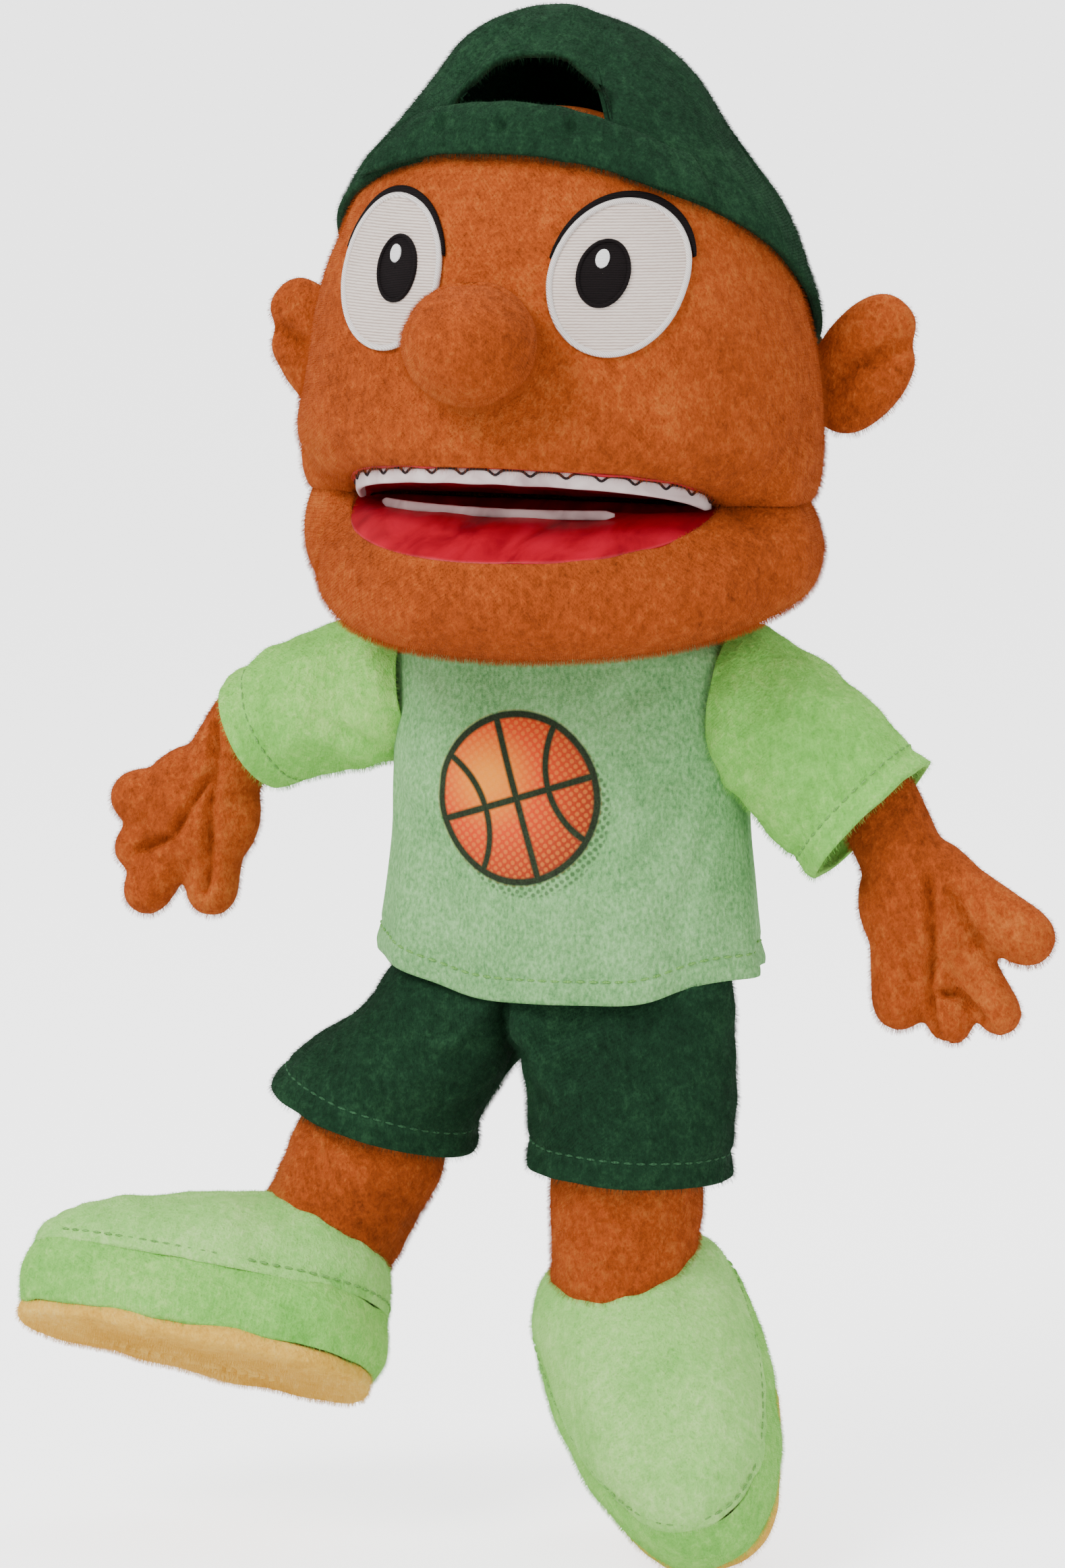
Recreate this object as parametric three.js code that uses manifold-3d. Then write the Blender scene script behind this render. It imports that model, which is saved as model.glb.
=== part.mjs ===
// A soft moving-mouth hand puppet, held upright by the hand inside it.
// Millimetres, +Z up. The puppet faces -Y, and its right side is at -X.
// The origin is the middle of the hand opening, at the hem of the shirt.
import * as THREE from 'three';
import { mergeVertices } from 'three/addons/utils/BufferGeometryUtils.js';
import Module from 'manifold-3d';

const wasm = await Module();
wasm.setup();

// ---- driving dimensions -------------------------------------------------
const GAP = 0.3; // between pieces that touch
const CLOTH = 2; // thickness of the plush fabric

const HEAD = {
  z: 152, up: 114, down: 58, // widest level, height above it, depth below it
  halfWidth: 73, halfDepth: 62, y: -9.5,
  narrowTop: 0.14, flatTop: 0.3, fullCheeks: 0.35, chinForward: 34, wall: 8, chinWall: 5,
  sunkCrown: 0.7, // height left above the edge of the cap, which stands up hollow over it
};
const HINGE = { y: -8, z: 135 };
const MOUTH = {
  upperTilt: -9, lowerTilt: 9, // degrees from level at rest, front up is negative
  lining: 1.2, board: 2, teeth: 3.2,
  jawBackTop: -22, jawBackSlope: 0.75, // plane that ends the chin at the back
};
const NECK = { halfWidth: 33, halfDepth: 25, from: 99, to: 109 };
const NOSE = { r: 17.5, y: -80, z: 183 };
const EYE = { x: 32, z: 199, halfWidth: 16.5, halfHeight: 20, pupil: 8 };
const EAR = { x: 80, y: 12, z: 172, halfWidth: 14, thick: 6.5, halfHeight: 18 };
const CAP = {
  gap: 0.6, cloth: 2.6, frontZ: 232, frontY: -50, slope: -0.7,
  strapHalf: 34, strapTop: 243, archHalf: 21, brim: 34, brimThick: 3,
};
const TORSO = [ // half width, half depth, height
  [54, 33, -2], [51, 32, 30], [50, 30, 60], [47, 27, 82], [39, 25.5, 93], [34, 25.5, 98],
];
const SHOULDER = { x: 60, z: 77, r: 17.5 };
const SLEEVE = { length: 38, cuff: 20, wall: 2, elbow: 38 };
const ARM = { r: 12.5, elbowR: 12 };
const PALM = { at: 30, halfWidth: 19, halfThick: 10, halfLong: 20 };
const HIP_R = 19;
const HIP_PAD = { x: -8, y: -10, z: -5, halfWidth: 30, halfDepth: 12, halfHeight: 9 };
const SHORTS_HEM_R = 27;
const LEG = { r: 19.5, twist: 34, ankle: 67 };
const SHOE = { toe: 80, heel: 22, halfWidth: 30, sole: 7, band: 17, dome: 22 };

const SIDES = {
  right: { // the puppet's right, at -X
    x: -1, sleeveDrop: 17, handDrop: 58, hip: [-41, -9, -20], legOut: 27, shortsLength: 30,
    toe: [-0.94, -0.27, 0.2], soleFacing: [-0.07, -0.43, -0.9],
    fingers: [[17, 46, 9], [10, 57, 7.5], [1, 66, 8], [-15, 55, 8.5]],
  },
  left: {
    x: 1, sleeveDrop: 40, handDrop: 64, hip: [21, -9, -16], legOut: -2, shortsLength: 38,
    toe: [0.48, -0.67, -0.56], soleFacing: [0.03, 0.65, -0.76],
    fingers: [[-18, 60, 8.5], [-7, 69, 7], [7, 72, 7], [23, 58, 9]],
  },
};

const PLUSH_SKIN = { color: 0xb5612b, roughness: 0.95 };
const PLUSH_DARK = { color: 0x1f4a2e, roughness: 0.95 };
const PLUSH_LIGHT = { color: 0x8fd070, roughness: 0.95 };
const KNIT = { color: 0x74b565, roughness: 0.9 };
const SATIN_RED = { color: 0xa8102c, roughness: 0.5 };
const SATIN_PALE = { color: 0xd8c4c4, roughness: 0.5 };
const THREAD_WHITE = { color: 0xe4dad2, roughness: 0.7 };
const THREAD_BLACK = { color: 0x2a1f1e, roughness: 0.7 };
const SOLE_YELLOW = { color: 0xe8b84e, roughness: 0.9 };
const BOARD_GREY = { color: 0x8a8580, roughness: 0.8 };
const LINING_TAN = { color: 0xc9a27c, roughness: 0.9 };

// ---- helpers ------------------------------------------------------------
const puppet = new THREE.Group();
const rad = THREE.MathUtils.degToRad;
const lerp = THREE.MathUtils.lerp;

function signedVolume(p, index) {
  const [a, b, c] = [new THREE.Vector3(), new THREE.Vector3(), new THREE.Vector3()];
  let sum = 0;
  for (let i = 0; i < index.length; i += 3) {
    a.fromBufferAttribute(p, index[i]);
    b.fromBufferAttribute(p, index[i + 1]);
    c.fromBufferAttribute(p, index[i + 2]);
    sum += a.dot(b.cross(c));
  }
  return sum;
}

// One closed mesh with shared vertices, no empty triangles, faces outward.
function closed(geometry) {
  const bare = new THREE.BufferGeometry();
  bare.setAttribute('position', geometry.getAttribute('position'));
  bare.setIndex(geometry.getIndex());
  const merged = mergeVertices(bare, 1e-4);
  const old = merged.getIndex().array;
  const index = [];
  for (let i = 0; i < old.length; i += 3) {
    const [a, b, c] = [old[i], old[i + 1], old[i + 2]];
    if (a !== b && b !== c && c !== a) index.push(a, b, c);
  }
  if (signedVolume(merged.getAttribute('position'), index) < 0) index.reverse();
  merged.setIndex(index);
  return merged;
}

function mapped(geometry, move) {
  const p = geometry.getAttribute('position');
  for (let i = 0; i < p.count; i += 1) {
    const q = move(p.getX(i), p.getY(i), p.getZ(i));
    p.setXYZ(i, q[0], q[1], q[2]);
  }
  return closed(geometry);
}

function solid(geometry) {
  const g = closed(geometry);
  const vertProperties = new Float32Array(g.getAttribute('position').array);
  const triVerts = new Uint32Array(g.getIndex().array);
  return new wasm.Manifold(new wasm.Mesh({ numProp: 3, vertProperties, triVerts }));
}

function geometryOf(body) {
  const m = body.getMesh();
  const g = new THREE.BufferGeometry();
  g.setAttribute('position', new THREE.BufferAttribute(new Float32Array(m.vertProperties), 3));
  g.setIndex(Array.from(m.triVerts));
  return closed(g);
}

function block(x0, x1, y0, y1, z0, z1, matrix) {
  const g = new THREE.BoxGeometry(x1 - x0, y1 - y0, z1 - z0);
  g.translate((x0 + x1) / 2, (y0 + y1) / 2, (z0 + z1) / 2);
  if (matrix) g.applyMatrix4(matrix);
  return solid(g);
}

function ball(x, y, z, r, detail = 16) {
  const g = new THREE.SphereGeometry(r, detail, detail / 2);
  return solid(g.translate(x, y, z));
}

function add(name, shape, material, parent = puppet) {
  const geometry = shape.isBufferGeometry ? closed(shape) : geometryOf(shape);
  const mesh = new THREE.Mesh(geometry, new THREE.MeshStandardMaterial(material));
  mesh.name = name;
  parent.add(mesh);
  return mesh;
}

// A sheet between surface(u, v, 0) and surface(u, v, 1), u and v from 0 to 1.
function patch(surface, nu, nv) {
  const g = new THREE.BoxGeometry(1, 1, 1, nu, nv, 1);
  return mapped(g, (x, y, z) => surface(x + 0.5, y + 0.5, z + 0.5));
}

// A tube wall between surface(turn, s, 0) and surface(turn, s, 1).
function tubeWall(surface, sides, steps) {
  const out = [];
  const back = [];
  for (let i = 0; i <= steps; i += 1) {
    out.push(new THREE.Vector2(2, i / steps));
    back.unshift(new THREE.Vector2(1, i / steps));
  }
  const g = new THREE.LatheGeometry([...out, ...back, out[0]], sides);
  return mapped(g, (x, y, z) => surface(Math.atan2(x, z), y, Math.hypot(x, z) > 1.5 ? 0 : 1));
}

// A solid turned about local +Z from [radius, height] pairs.
function turned(profile, sides, flat = 1) {
  const g = new THREE.LatheGeometry(profile.map(([r, h]) => new THREE.Vector2(r, h)), sides);
  return mapped(g, (x, y, z) => [x, -z * flat, y]);
}

function arc(r, fromDeg, toDeg, steps, centre = 0) {
  const points = [];
  for (let i = 0; i <= steps; i += 1) {
    const t = rad(lerp(fromDeg, toDeg, i / steps));
    points.push([Math.max(0, r * Math.cos(t)), centre + r * Math.sin(t)]);
  }
  return points;
}

// ---- head form ----------------------------------------------------------
function headSection(z, grow) {
  const h = z >= HEAD.z ? HEAD.up + grow : HEAD.down + grow;
  const s = THREE.MathUtils.clamp((z - HEAD.z) / h, -1, 1);
  const w = Math.sqrt(1 - s * s);
  const up = s > 0 ? s * s : 0;
  const low = s < 0 ? s * s : 0;
  return {
    a: w * (HEAD.halfWidth + grow) * (1 - HEAD.narrowTop * up + HEAD.fullCheeks * low),
    b: w * (HEAD.halfDepth + grow) * (1 - HEAD.flatTop * up + 0.1 * low),
    y: HEAD.y + 4 * up - HEAD.chinForward * low,
  };
}

function headGeometry(grow, around = 30, levels = 18) {
  return mapped(new THREE.SphereGeometry(1, around, levels), (x, y, z) => {
    const h = y >= 0 ? HEAD.up + grow : HEAD.down + grow;
    const level = HEAD.z + y * h;
    const w = Math.max(Math.hypot(x, z), 1e-9);
    const s = headSection(level, grow);
    const pole = Math.abs(y) > 0.99999;
    return [pole ? 0 : (s.a * x) / w, pole ? s.y : s.y + (s.b * z) / w, level];
  });
}

const headSolid = (grow, around, levels) => solid(headGeometry(grow, around, levels));

// The head as it is under the cap, with a lower crown than the cap has.
function sunkHead(grow, around, levels) {
  return solid(mapped(headGeometry(grow, around, levels), (x, y, z) => {
    const edge = CAP.frontZ + CAP.slope * (y - CAP.frontY);
    return [x, y, z > edge ? lerp(edge, z, HEAD.sunkCrown) : z];
  }));
}

function faceY(x, z, grow = 0) {
  const s = headSection(z, grow);
  return s.y - s.b * Math.sqrt(Math.max(0, 1 - (x / s.a) ** 2));
}

// A thin disc sewn on the face, from 0.3 to 0.3 + thick above the skin.
function facePatch(cx, cz, halfWidth, halfHeight, lift, thick) {
  const profile = [[0, 1], [0.5, 1], [1, 1], [1, 0], [0.5, 0], [0, 0]];
  const g = new THREE.LatheGeometry(profile.map(([r, h]) => new THREE.Vector2(r, h)), 18);
  return mapped(g, (x, y, z) => {
    const px = cx + x * halfWidth;
    const pz = cz + z * halfHeight;
    return [px, faceY(px, pz) - lift - y * thick, pz];
  });
}

const FAR = 200;
// Mouth frames have their origin on the hinge line: +Y back, +Z away from the lower jaw.
const hingeFrame = (tilt) => new THREE.Matrix4().makeTranslation(0, HINGE.y, HINGE.z)
  .multiply(new THREE.Matrix4().makeRotationX(rad(tilt)));
const upperFrame = hingeFrame(MOUTH.upperTilt);
const jawFrame = hingeFrame(MOUTH.lowerTilt);
const PALATE = 3.4; // underside of the upper head shell in the upper frame
const outerHead = sunkHead(0);
const innerHead = sunkHead(-HEAD.wall, 22, 13);

function buildHead() {
  const shell = outerHead.subtract(innerHead);
  const abovePalate = block(-FAR, FAR, -FAR, FAR, PALATE, FAR, upperFrame);
  const front = block(-FAR, FAR, -FAR, HINGE.y - GAP / 2, 0, 400).intersect(abovePalate);
  add('head_front', shell.intersect(front), PLUSH_SKIN);
  const neckHole = solid(turned([[0, 60], [42, 60], [42, 122], [0, 122]], 24, 0.86));
  const behind = block(-FAR, FAR, HINGE.y + GAP / 2, FAR, 0, 400);
  add('head_back', shell.intersect(behind).subtract(neckHole), PLUSH_SKIN);

  const nose = solid(new THREE.SphereGeometry(NOSE.r, 18, 10).translate(0, NOSE.y, NOSE.z));
  add('nose', nose.subtract(headSolid(GAP)), PLUSH_SKIN);
  for (const [side, { x: sign }] of Object.entries(SIDES)) {
    const ear = mapped(new THREE.SphereGeometry(1, 16, 12), (x, y, z) => [
      sign * EAR.x + x * EAR.halfWidth,
      EAR.y + z * EAR.thick,
      EAR.z + y * EAR.halfHeight,
    ]);
    add(`ear_${side}`, solid(ear).subtract(headSolid(GAP)), PLUSH_SKIN);
    const x = sign * EYE.x;
    const white = facePatch(x, EYE.z, EYE.halfWidth, EYE.halfHeight, GAP * 2, 0.7);
    add(`eye_white_${side}`, white, THREAD_WHITE);
    const pupil = facePatch(x * 0.9, EYE.z, EYE.pupil, EYE.pupil * 1.15, 1.5, 0.7);
    add(`eye_pupil_${side}`, pupil, THREAD_BLACK);
    const lid = patch((u, v, t) => {
      const turn = rad(lerp(20, 160, u));
      const reach = lerp(1.03, 1.13, v);
      const px = x + reach * EYE.halfWidth * Math.cos(turn);
      const pz = EYE.z + reach * EYE.halfHeight * Math.sin(turn);
      return [px, faceY(px, pz) - GAP - 0.9 * t, pz];
    }, 14, 1);
    add(`eye_lid_${side}`, lid, THREAD_BLACK);
  }
}

// ---- mouth --------------------------------------------------------------
function mouthSlab(z0, z1, grow, frame, yBack) {
  return block(-FAR, FAR, -FAR, yBack, z0, z1, frame).intersect(headSolid(grow));
}

function pocket(halfWidth, height, y0, y1, z0, wall) {
  const hole = new THREE.Path();
  const shape = new THREE.Shape();
  const r = height / 2;
  const trace = (path, inset) => {
    path.absarc(-halfWidth + r, 0, r - inset, Math.PI / 2, Math.PI * 1.5);
    path.absarc(halfWidth - r, 0, r - inset, -Math.PI / 2, Math.PI / 2);
    path.closePath();
  };
  trace(shape, 0);
  trace(hole, wall);
  shape.holes.push(hole);
  const g = new THREE.ExtrudeGeometry(shape, { depth: y1 - y0, bevelEnabled: false, curveSegments: 8 });
  return mapped(g, (x, y, z) => [x, y0 + z, z0 + r + y]);
}

function buildMouth() {
  const under = PALATE - GAP;
  const lip = under - MOUTH.lining;
  add('upper_mouth_lining', mouthSlab(lip, under, -2.5, upperFrame, -4), SATIN_RED);
  const inside = -HEAD.wall - 1.8;
  const top = mouthSlab(PALATE + 0.1, PALATE + MOUTH.board, inside, upperFrame, -4);
  add('upper_mouth_board', top, BOARD_GREY);
  const strip = (z0, z1, inset, frame, back) =>
    mouthSlab(z0, z1, -inset, frame, back).subtract(headSolid(-inset - 2));
  const upperTeeth = strip(lip - GAP - MOUTH.teeth, lip - GAP, 4, upperFrame, -12);
  add('upper_teeth', upperTeeth, SATIN_PALE);
  const fingers = pocket(34, 24, -46, -8, PALATE + MOUTH.board + 0.6, 1.3);
  add('finger_pocket', fingers.applyMatrix4(upperFrame), LINING_TAN);

  add('lower_mouth_lining', mouthSlab(-1.8, -0.6, -2.5, jawFrame, -4), SATIN_RED);
  add('lower_mouth_board', mouthSlab(-4.2, -2.2, inside, jawFrame, -14), BOARD_GREY);
  add('lower_teeth', strip(-0.3, 2, 12, jawFrame, -30), SATIN_PALE);
  add('thumb_pocket', pocket(17, 16, -47, -32, -20.9, 1.2).applyMatrix4(jawFrame), LINING_TAN);

  const below = block(-FAR, FAR, -FAR, 0, -FAR, -2.1, jawFrame);
  const backPlane = new THREE.Matrix4().makeTranslation(0, MOUTH.jawBackTop, HINGE.z - 2)
    .multiply(new THREE.Matrix4().makeRotationX(-Math.atan(MOUTH.jawBackSlope)));
  const ahead = block(-FAR, FAR, -FAR, 0, -FAR, FAR, backPlane);
  const chinWall = outerHead.subtract(headSolid(-HEAD.chinWall, 22, 13));
  add('jaw_shell', chinWall.intersect(below).intersect(ahead), PLUSH_SKIN);
}

// ---- cap ----------------------------------------------------------------
function buildCap() {
  const skin = headSolid(CAP.gap + CAP.cloth).subtract(headSolid(CAP.gap));
  const tilt = new THREE.Matrix4().makeRotationX(Math.atan(CAP.slope));
  const edge = new THREE.Matrix4().makeTranslation(0, CAP.frontY, CAP.frontZ).multiply(tilt);
  const cap = skin.intersect(block(-FAR, FAR, -FAR, FAR, 0, FAR, edge));
  const strapZone = block(-CAP.strapHalf, CAP.strapHalf, -FAR, -10, 0, CAP.strapTop);
  const clear = block(-CAP.strapHalf - GAP, CAP.strapHalf + GAP, -FAR, -10, 0, CAP.strapTop + GAP);
  const archShape = new THREE.Shape();
  archShape.absarc(0, 0, 1, 0, Math.PI);
  archShape.closePath();
  const arch = new THREE.ExtrudeGeometry(archShape, { depth: 60, bevelEnabled: false, curveSegments: 10 });
  const cutter = solid(mapped(arch, (x, y, z) => [
    x * CAP.archHalf,
    -70 + z,
    CAP.strapTop - 1 + y * 15,
  ]));
  add('cap_strap', cap.intersect(strapZone), PLUSH_DARK);
  add('cap_crown', cap.subtract(clear).subtract(cutter), PLUSH_DARK);

  const brim = patch((u, v, t) => {
    const turn = rad(lerp(-52, 52, u));
    const reach = v * CAP.brim * Math.cos(turn) ** 0.6;
    const y0 = 46 * Math.cos(turn);
    const level = CAP.frontZ + CAP.slope * (y0 - CAP.frontY);
    const s = headSection(level, CAP.gap + CAP.cloth + GAP + 0.2);
    const x = s.a * Math.sin(turn);
    const y = s.y + s.b * Math.cos(turn);
    return [x * (1 + 0.1 * v), y + reach, level + 4 - 0.35 * reach + CAP.brimThick * t];
  }, 12, 3);
  const clearOfCap = headSolid(CAP.gap + CAP.cloth + GAP);
  add('cap_brim', solid(brim).subtract(clearOfCap), PLUSH_DARK);
}

// ---- torso --------------------------------------------------------------
const torsoLine = new THREE.CatmullRomCurve3(TORSO.map((p) => new THREE.Vector3(...p)));

function torsoPoint(turn, s, inset) {
  const p = torsoLine.getPoint(s);
  return [(p.x - inset) * Math.sin(turn), -(p.y - inset) * Math.cos(turn), p.z];
}

function buildTorso() {
  const shoulders = Object.values(SIDES).map(({ x }) =>
    ball(x * SHOULDER.x, 0, SHOULDER.z, SHOULDER.r + 0.8));
  const cutArms = (body) => shoulders.reduce((left, s) => left.subtract(s), body);
  const half = (from, to) => solid(patch((u, v, t) =>
    torsoPoint(rad(lerp(from, to, u)), v, CLOTH * t), 14, 8));
  add('shirt_front', cutArms(half(-89.7, 89.7)), KNIT);
  add('shirt_back', cutArms(half(90.3, 269.7)), KNIT);
  const lining = tubeWall((turn, s, t) =>
    torsoPoint(turn, lerp(0.2, 0.93, s), CLOTH + GAP * 2 + 1.4 * t), 24, 5);
  add('body_lining', cutArms(solid(lining)), LINING_TAN);
  const collar = tubeWall((turn, s, t) => {
    const p = TORSO[TORSO.length - 1];
    const out = (t ? -1 : 1) * 1.4 * (1 - 0.4 * Math.abs(2 * s - 1));
    return [
      (p[0] - 1 + out) * Math.sin(turn),
      -(p[1] - 1 + out) * Math.cos(turn),
      p[2] + 0.4 + 2.4 * s,
    ];
  }, 24, 2);
  add('collar', collar, KNIT);
  const neck = tubeWall((turn, s, t) => [
    (NECK.halfWidth - CLOTH * t) * Math.sin(turn),
    -(NECK.halfDepth - CLOTH * t) * Math.cos(turn),
    lerp(NECK.from + 2.2, NECK.to, s),
  ], 24, 2);
  add('neck_sleeve', neck, PLUSH_SKIN);

  const hips = Object.values(SIDES).map(({ hip }) => ball(...hip, HIP_R + 0.8));
  const cutHips = (body) => hips.reduce((left, s) => left.subtract(s), body);
  const waist = patch((u, v, t) => {
    const turn = rad(lerp(-125, 125, u));
    const inset = 4 + CLOTH * t;
    return [
      (TORSO[0][0] - inset) * Math.sin(turn),
      -(TORSO[0][1] - inset) * Math.cos(turn),
      lerp(-3, 8, v),
    ];
  }, 24, 3);
  add('shorts_waist', cutHips(solid(waist)), PLUSH_DARK);
  const pad = mapped(new THREE.SphereGeometry(1, 24, 12), (x, y, z) => [
    HIP_PAD.x + HIP_PAD.halfWidth * x,
    HIP_PAD.y + HIP_PAD.halfDepth * z,
    HIP_PAD.z + HIP_PAD.halfHeight * y,
  ]);
  add('hip_pad', cutHips(solid(pad)), PLUSH_DARK);
}

// ---- arms ---------------------------------------------------------------
// A frame whose +Z runs down the arm and whose +Y points to the back.
function armMatrix(sign, drop, x, z) {
  const along = new THREE.Vector3(sign * Math.cos(rad(drop)), 0, -Math.sin(rad(drop)));
  const back = new THREE.Vector3(0, 1, 0);
  const across = new THREE.Vector3().crossVectors(back, along);
  return new THREE.Matrix4().makeBasis(across, back, along).setPosition(x, 0, z);
}

function capsule(from, to, r) {
  const axis = new THREE.Vector3().subVectors(to, from);
  const g = turned([
    ...arc(r, -90, 0, 3),
    ...arc(r * 0.95, 0, 90, 3, axis.length()),
  ], 10, 0.92);
  const turn = new THREE.Quaternion().setFromUnitVectors(new THREE.Vector3(0, 0, 1), axis.clone().normalize());
  g.applyQuaternion(turn);
  return solid(g.translate(from.x, from.y, from.z));
}

function buildArm(side) {
  const s = SIDES[side];
  const place = armMatrix(s.x, s.sleeveDrop, s.x * SHOULDER.x, SHOULDER.z);
  const inner = SHOULDER.r - SLEEVE.wall;
  const profile = [
    ...arc(SHOULDER.r, -90, 0, 5),
    [SLEEVE.cuff, SLEEVE.length],
    [SLEEVE.cuff - SLEEVE.wall, SLEEVE.length],
    ...arc(inner, 0, -90, 4),
  ];
  add(`sleeve_${side}`, turned(profile, 18).applyMatrix4(place), PLUSH_LIGHT);
  const stub = SLEEVE.elbow - ARM.elbowR - 1;
  const core = turned([[0, -12], [9, -10], [ARM.r, -3], [ARM.r, stub - 2], [10, stub], [0, stub]], 20);
  add(`upper_arm_${side}`, core.applyMatrix4(place), PLUSH_SKIN);

  const elbow = new THREE.Vector3(0, 0, SLEEVE.elbow).applyMatrix4(place);
  const handPlace = armMatrix(s.x, s.handDrop, elbow.x, elbow.z);
  const wrist = turned([...arc(ARM.elbowR, -90, 0, 5), [ARM.elbowR, 12], [ARM.elbowR, 24], [0, 30]], 20, 0.85);
  let hand = solid(wrist).add(solid(mapped(new THREE.SphereGeometry(1, 16, 10), (x, y, z) => [
    x * PALM.halfWidth,
    z * PALM.halfThick,
    PALM.at + y * PALM.halfLong,
  ])));
  for (const [across, along, r] of s.fingers) {
    const base = new THREE.Vector3(-s.x * across * 0.45, 0, PALM.at);
    const tip = new THREE.Vector3(-s.x * across, 0, along - r);
    hand = hand.add(capsule(base, tip, r));
  }
  add(`hand_${side}`, geometryOf(hand).applyMatrix4(handPlace), PLUSH_SKIN);
}

// ---- legs ---------------------------------------------------------------
function footOutline(inset) {
  const shape = new THREE.Shape();
  const steps = 24;
  for (let i = 0; i < steps; i += 1) {
    const t = (i / steps) * Math.PI * 2;
    const c = Math.cos(t);
    const s = Math.sin(t);
    const reach = c > 0 ? SHOE.toe : SHOE.heel;
    const wide = SHOE.halfWidth * (1 - 0.08 * (c < 0 ? -c : 0));
    const x = Math.sign(c) * Math.abs(c) ** 0.85 * (reach - inset);
    const y = Math.sign(s) * Math.abs(s) ** 0.8 * (wide - inset);
    if (i === 0) shape.moveTo(x, y);
    else shape.lineTo(x, y);
  }
  shape.closePath();
  return shape;
}

function footSlab(inset, z0, z1) {
  const g = new THREE.ExtrudeGeometry(footOutline(inset), { depth: z1 - z0, bevelEnabled: false });
  return g.translate(0, 0, z0);
}

function shoeDome(grow) {
  return mapped(new THREE.SphereGeometry(1, 22, 12), (x, y, z) => {
    const reach = x > 0 ? SHOE.toe : SHOE.heel;
    const high = SHOE.dome * (1 + 0.25 * (x < 0.3 ? 1 : (1 - x) / 0.7));
    return [
      x * (reach - 1 + grow),
      z * (SHOE.halfWidth - 1 + grow),
      y * (high + grow),
    ];
  });
}

function buildLeg(side) {
  const s = SIDES[side];
  const out = rad(s.legOut);
  const down = new THREE.Vector3(s.x * Math.sin(out), 0, -Math.cos(out));
  const forward = new THREE.Vector3(0, -1, 0);
  const across = new THREE.Vector3().crossVectors(forward, down);
  const hip = new THREE.Vector3(...s.hip);
  const place = new THREE.Matrix4().makeBasis(across, forward, down).setPosition(hip);

  const wall = CLOTH;
  const shorts = turned([
    ...arc(HIP_R, -90, 0, 5),
    [SHORTS_HEM_R - 2, s.shortsLength * 0.6],
    [SHORTS_HEM_R, s.shortsLength],
    [SHORTS_HEM_R - wall, s.shortsLength],
    [SHORTS_HEM_R - 2 - wall, s.shortsLength * 0.6],
    ...arc(HIP_R - wall, 0, -90, 4),
  ], 18);
  add(`shorts_leg_${side}`, shorts.applyMatrix4(place), PLUSH_DARK);
  const top = HIP_R - wall - 0.6;
  const thigh = turned([...arc(top, -90, 0, 5), [LEG.r - 2, LEG.twist - 1], [0, LEG.twist - 1]], 20);
  add(`thigh_${side}`, thigh.applyMatrix4(place), PLUSH_SKIN);

  const ankle = down.clone().multiplyScalar(LEG.ankle).add(hip);
  const toe = new THREE.Vector3(...s.toe).normalize();
  const up = new THREE.Vector3(...s.soleFacing).normalize().negate();
  const lateral = new THREE.Vector3().crossVectors(up, toe).normalize();
  up.crossVectors(toe, lateral).normalize();
  const footPlace = new THREE.Matrix4().makeBasis(toe, lateral, up).setPosition(
    ankle.clone().addScaledVector(up, -SHOE.dome * 0.8));
  const calf = turned([[0, LEG.twist], [LEG.r - 1, LEG.twist], [LEG.r, LEG.twist + 4],
    [LEG.r, LEG.ankle], [LEG.r - 2, LEG.ankle + 14], [0, LEG.ankle + 18]], 24);
  const domeFor = (grow) => solid(shoeDome(grow).applyMatrix4(footPlace));
  const belowDome = block(-FAR, FAR, -FAR, FAR, -FAR, 2, footPlace);
  add(`leg_${side}`, solid(calf.applyMatrix4(place)).subtract(domeFor(GAP)).subtract(belowDome), PLUSH_SKIN);
  const lid = domeFor(0).intersect(block(-FAR, FAR, -FAR, FAR, 0, FAR, footPlace));
  add(`shoe_top_${side}`, lid, PLUSH_LIGHT);
  add(`shoe_side_${side}`, footSlab(0, -SHOE.band, -GAP).applyMatrix4(footPlace), PLUSH_LIGHT);
  const sole = footSlab(1.5, -SHOE.band - SHOE.sole, -SHOE.band - GAP);
  add(`shoe_sole_${side}`, sole.applyMatrix4(footPlace), SOLE_YELLOW);
}

buildHead();
buildMouth();
buildCap();
buildTorso();
for (const side of Object.keys(SIDES)) {
  buildArm(side);
  buildLeg(side);
}

export default puppet;
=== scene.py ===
import math

import bmesh
import bpy
import numpy as np
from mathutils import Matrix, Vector
from mathutils.bvhtree import BVHTree
from mathutils.kdtree import KDTree


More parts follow.
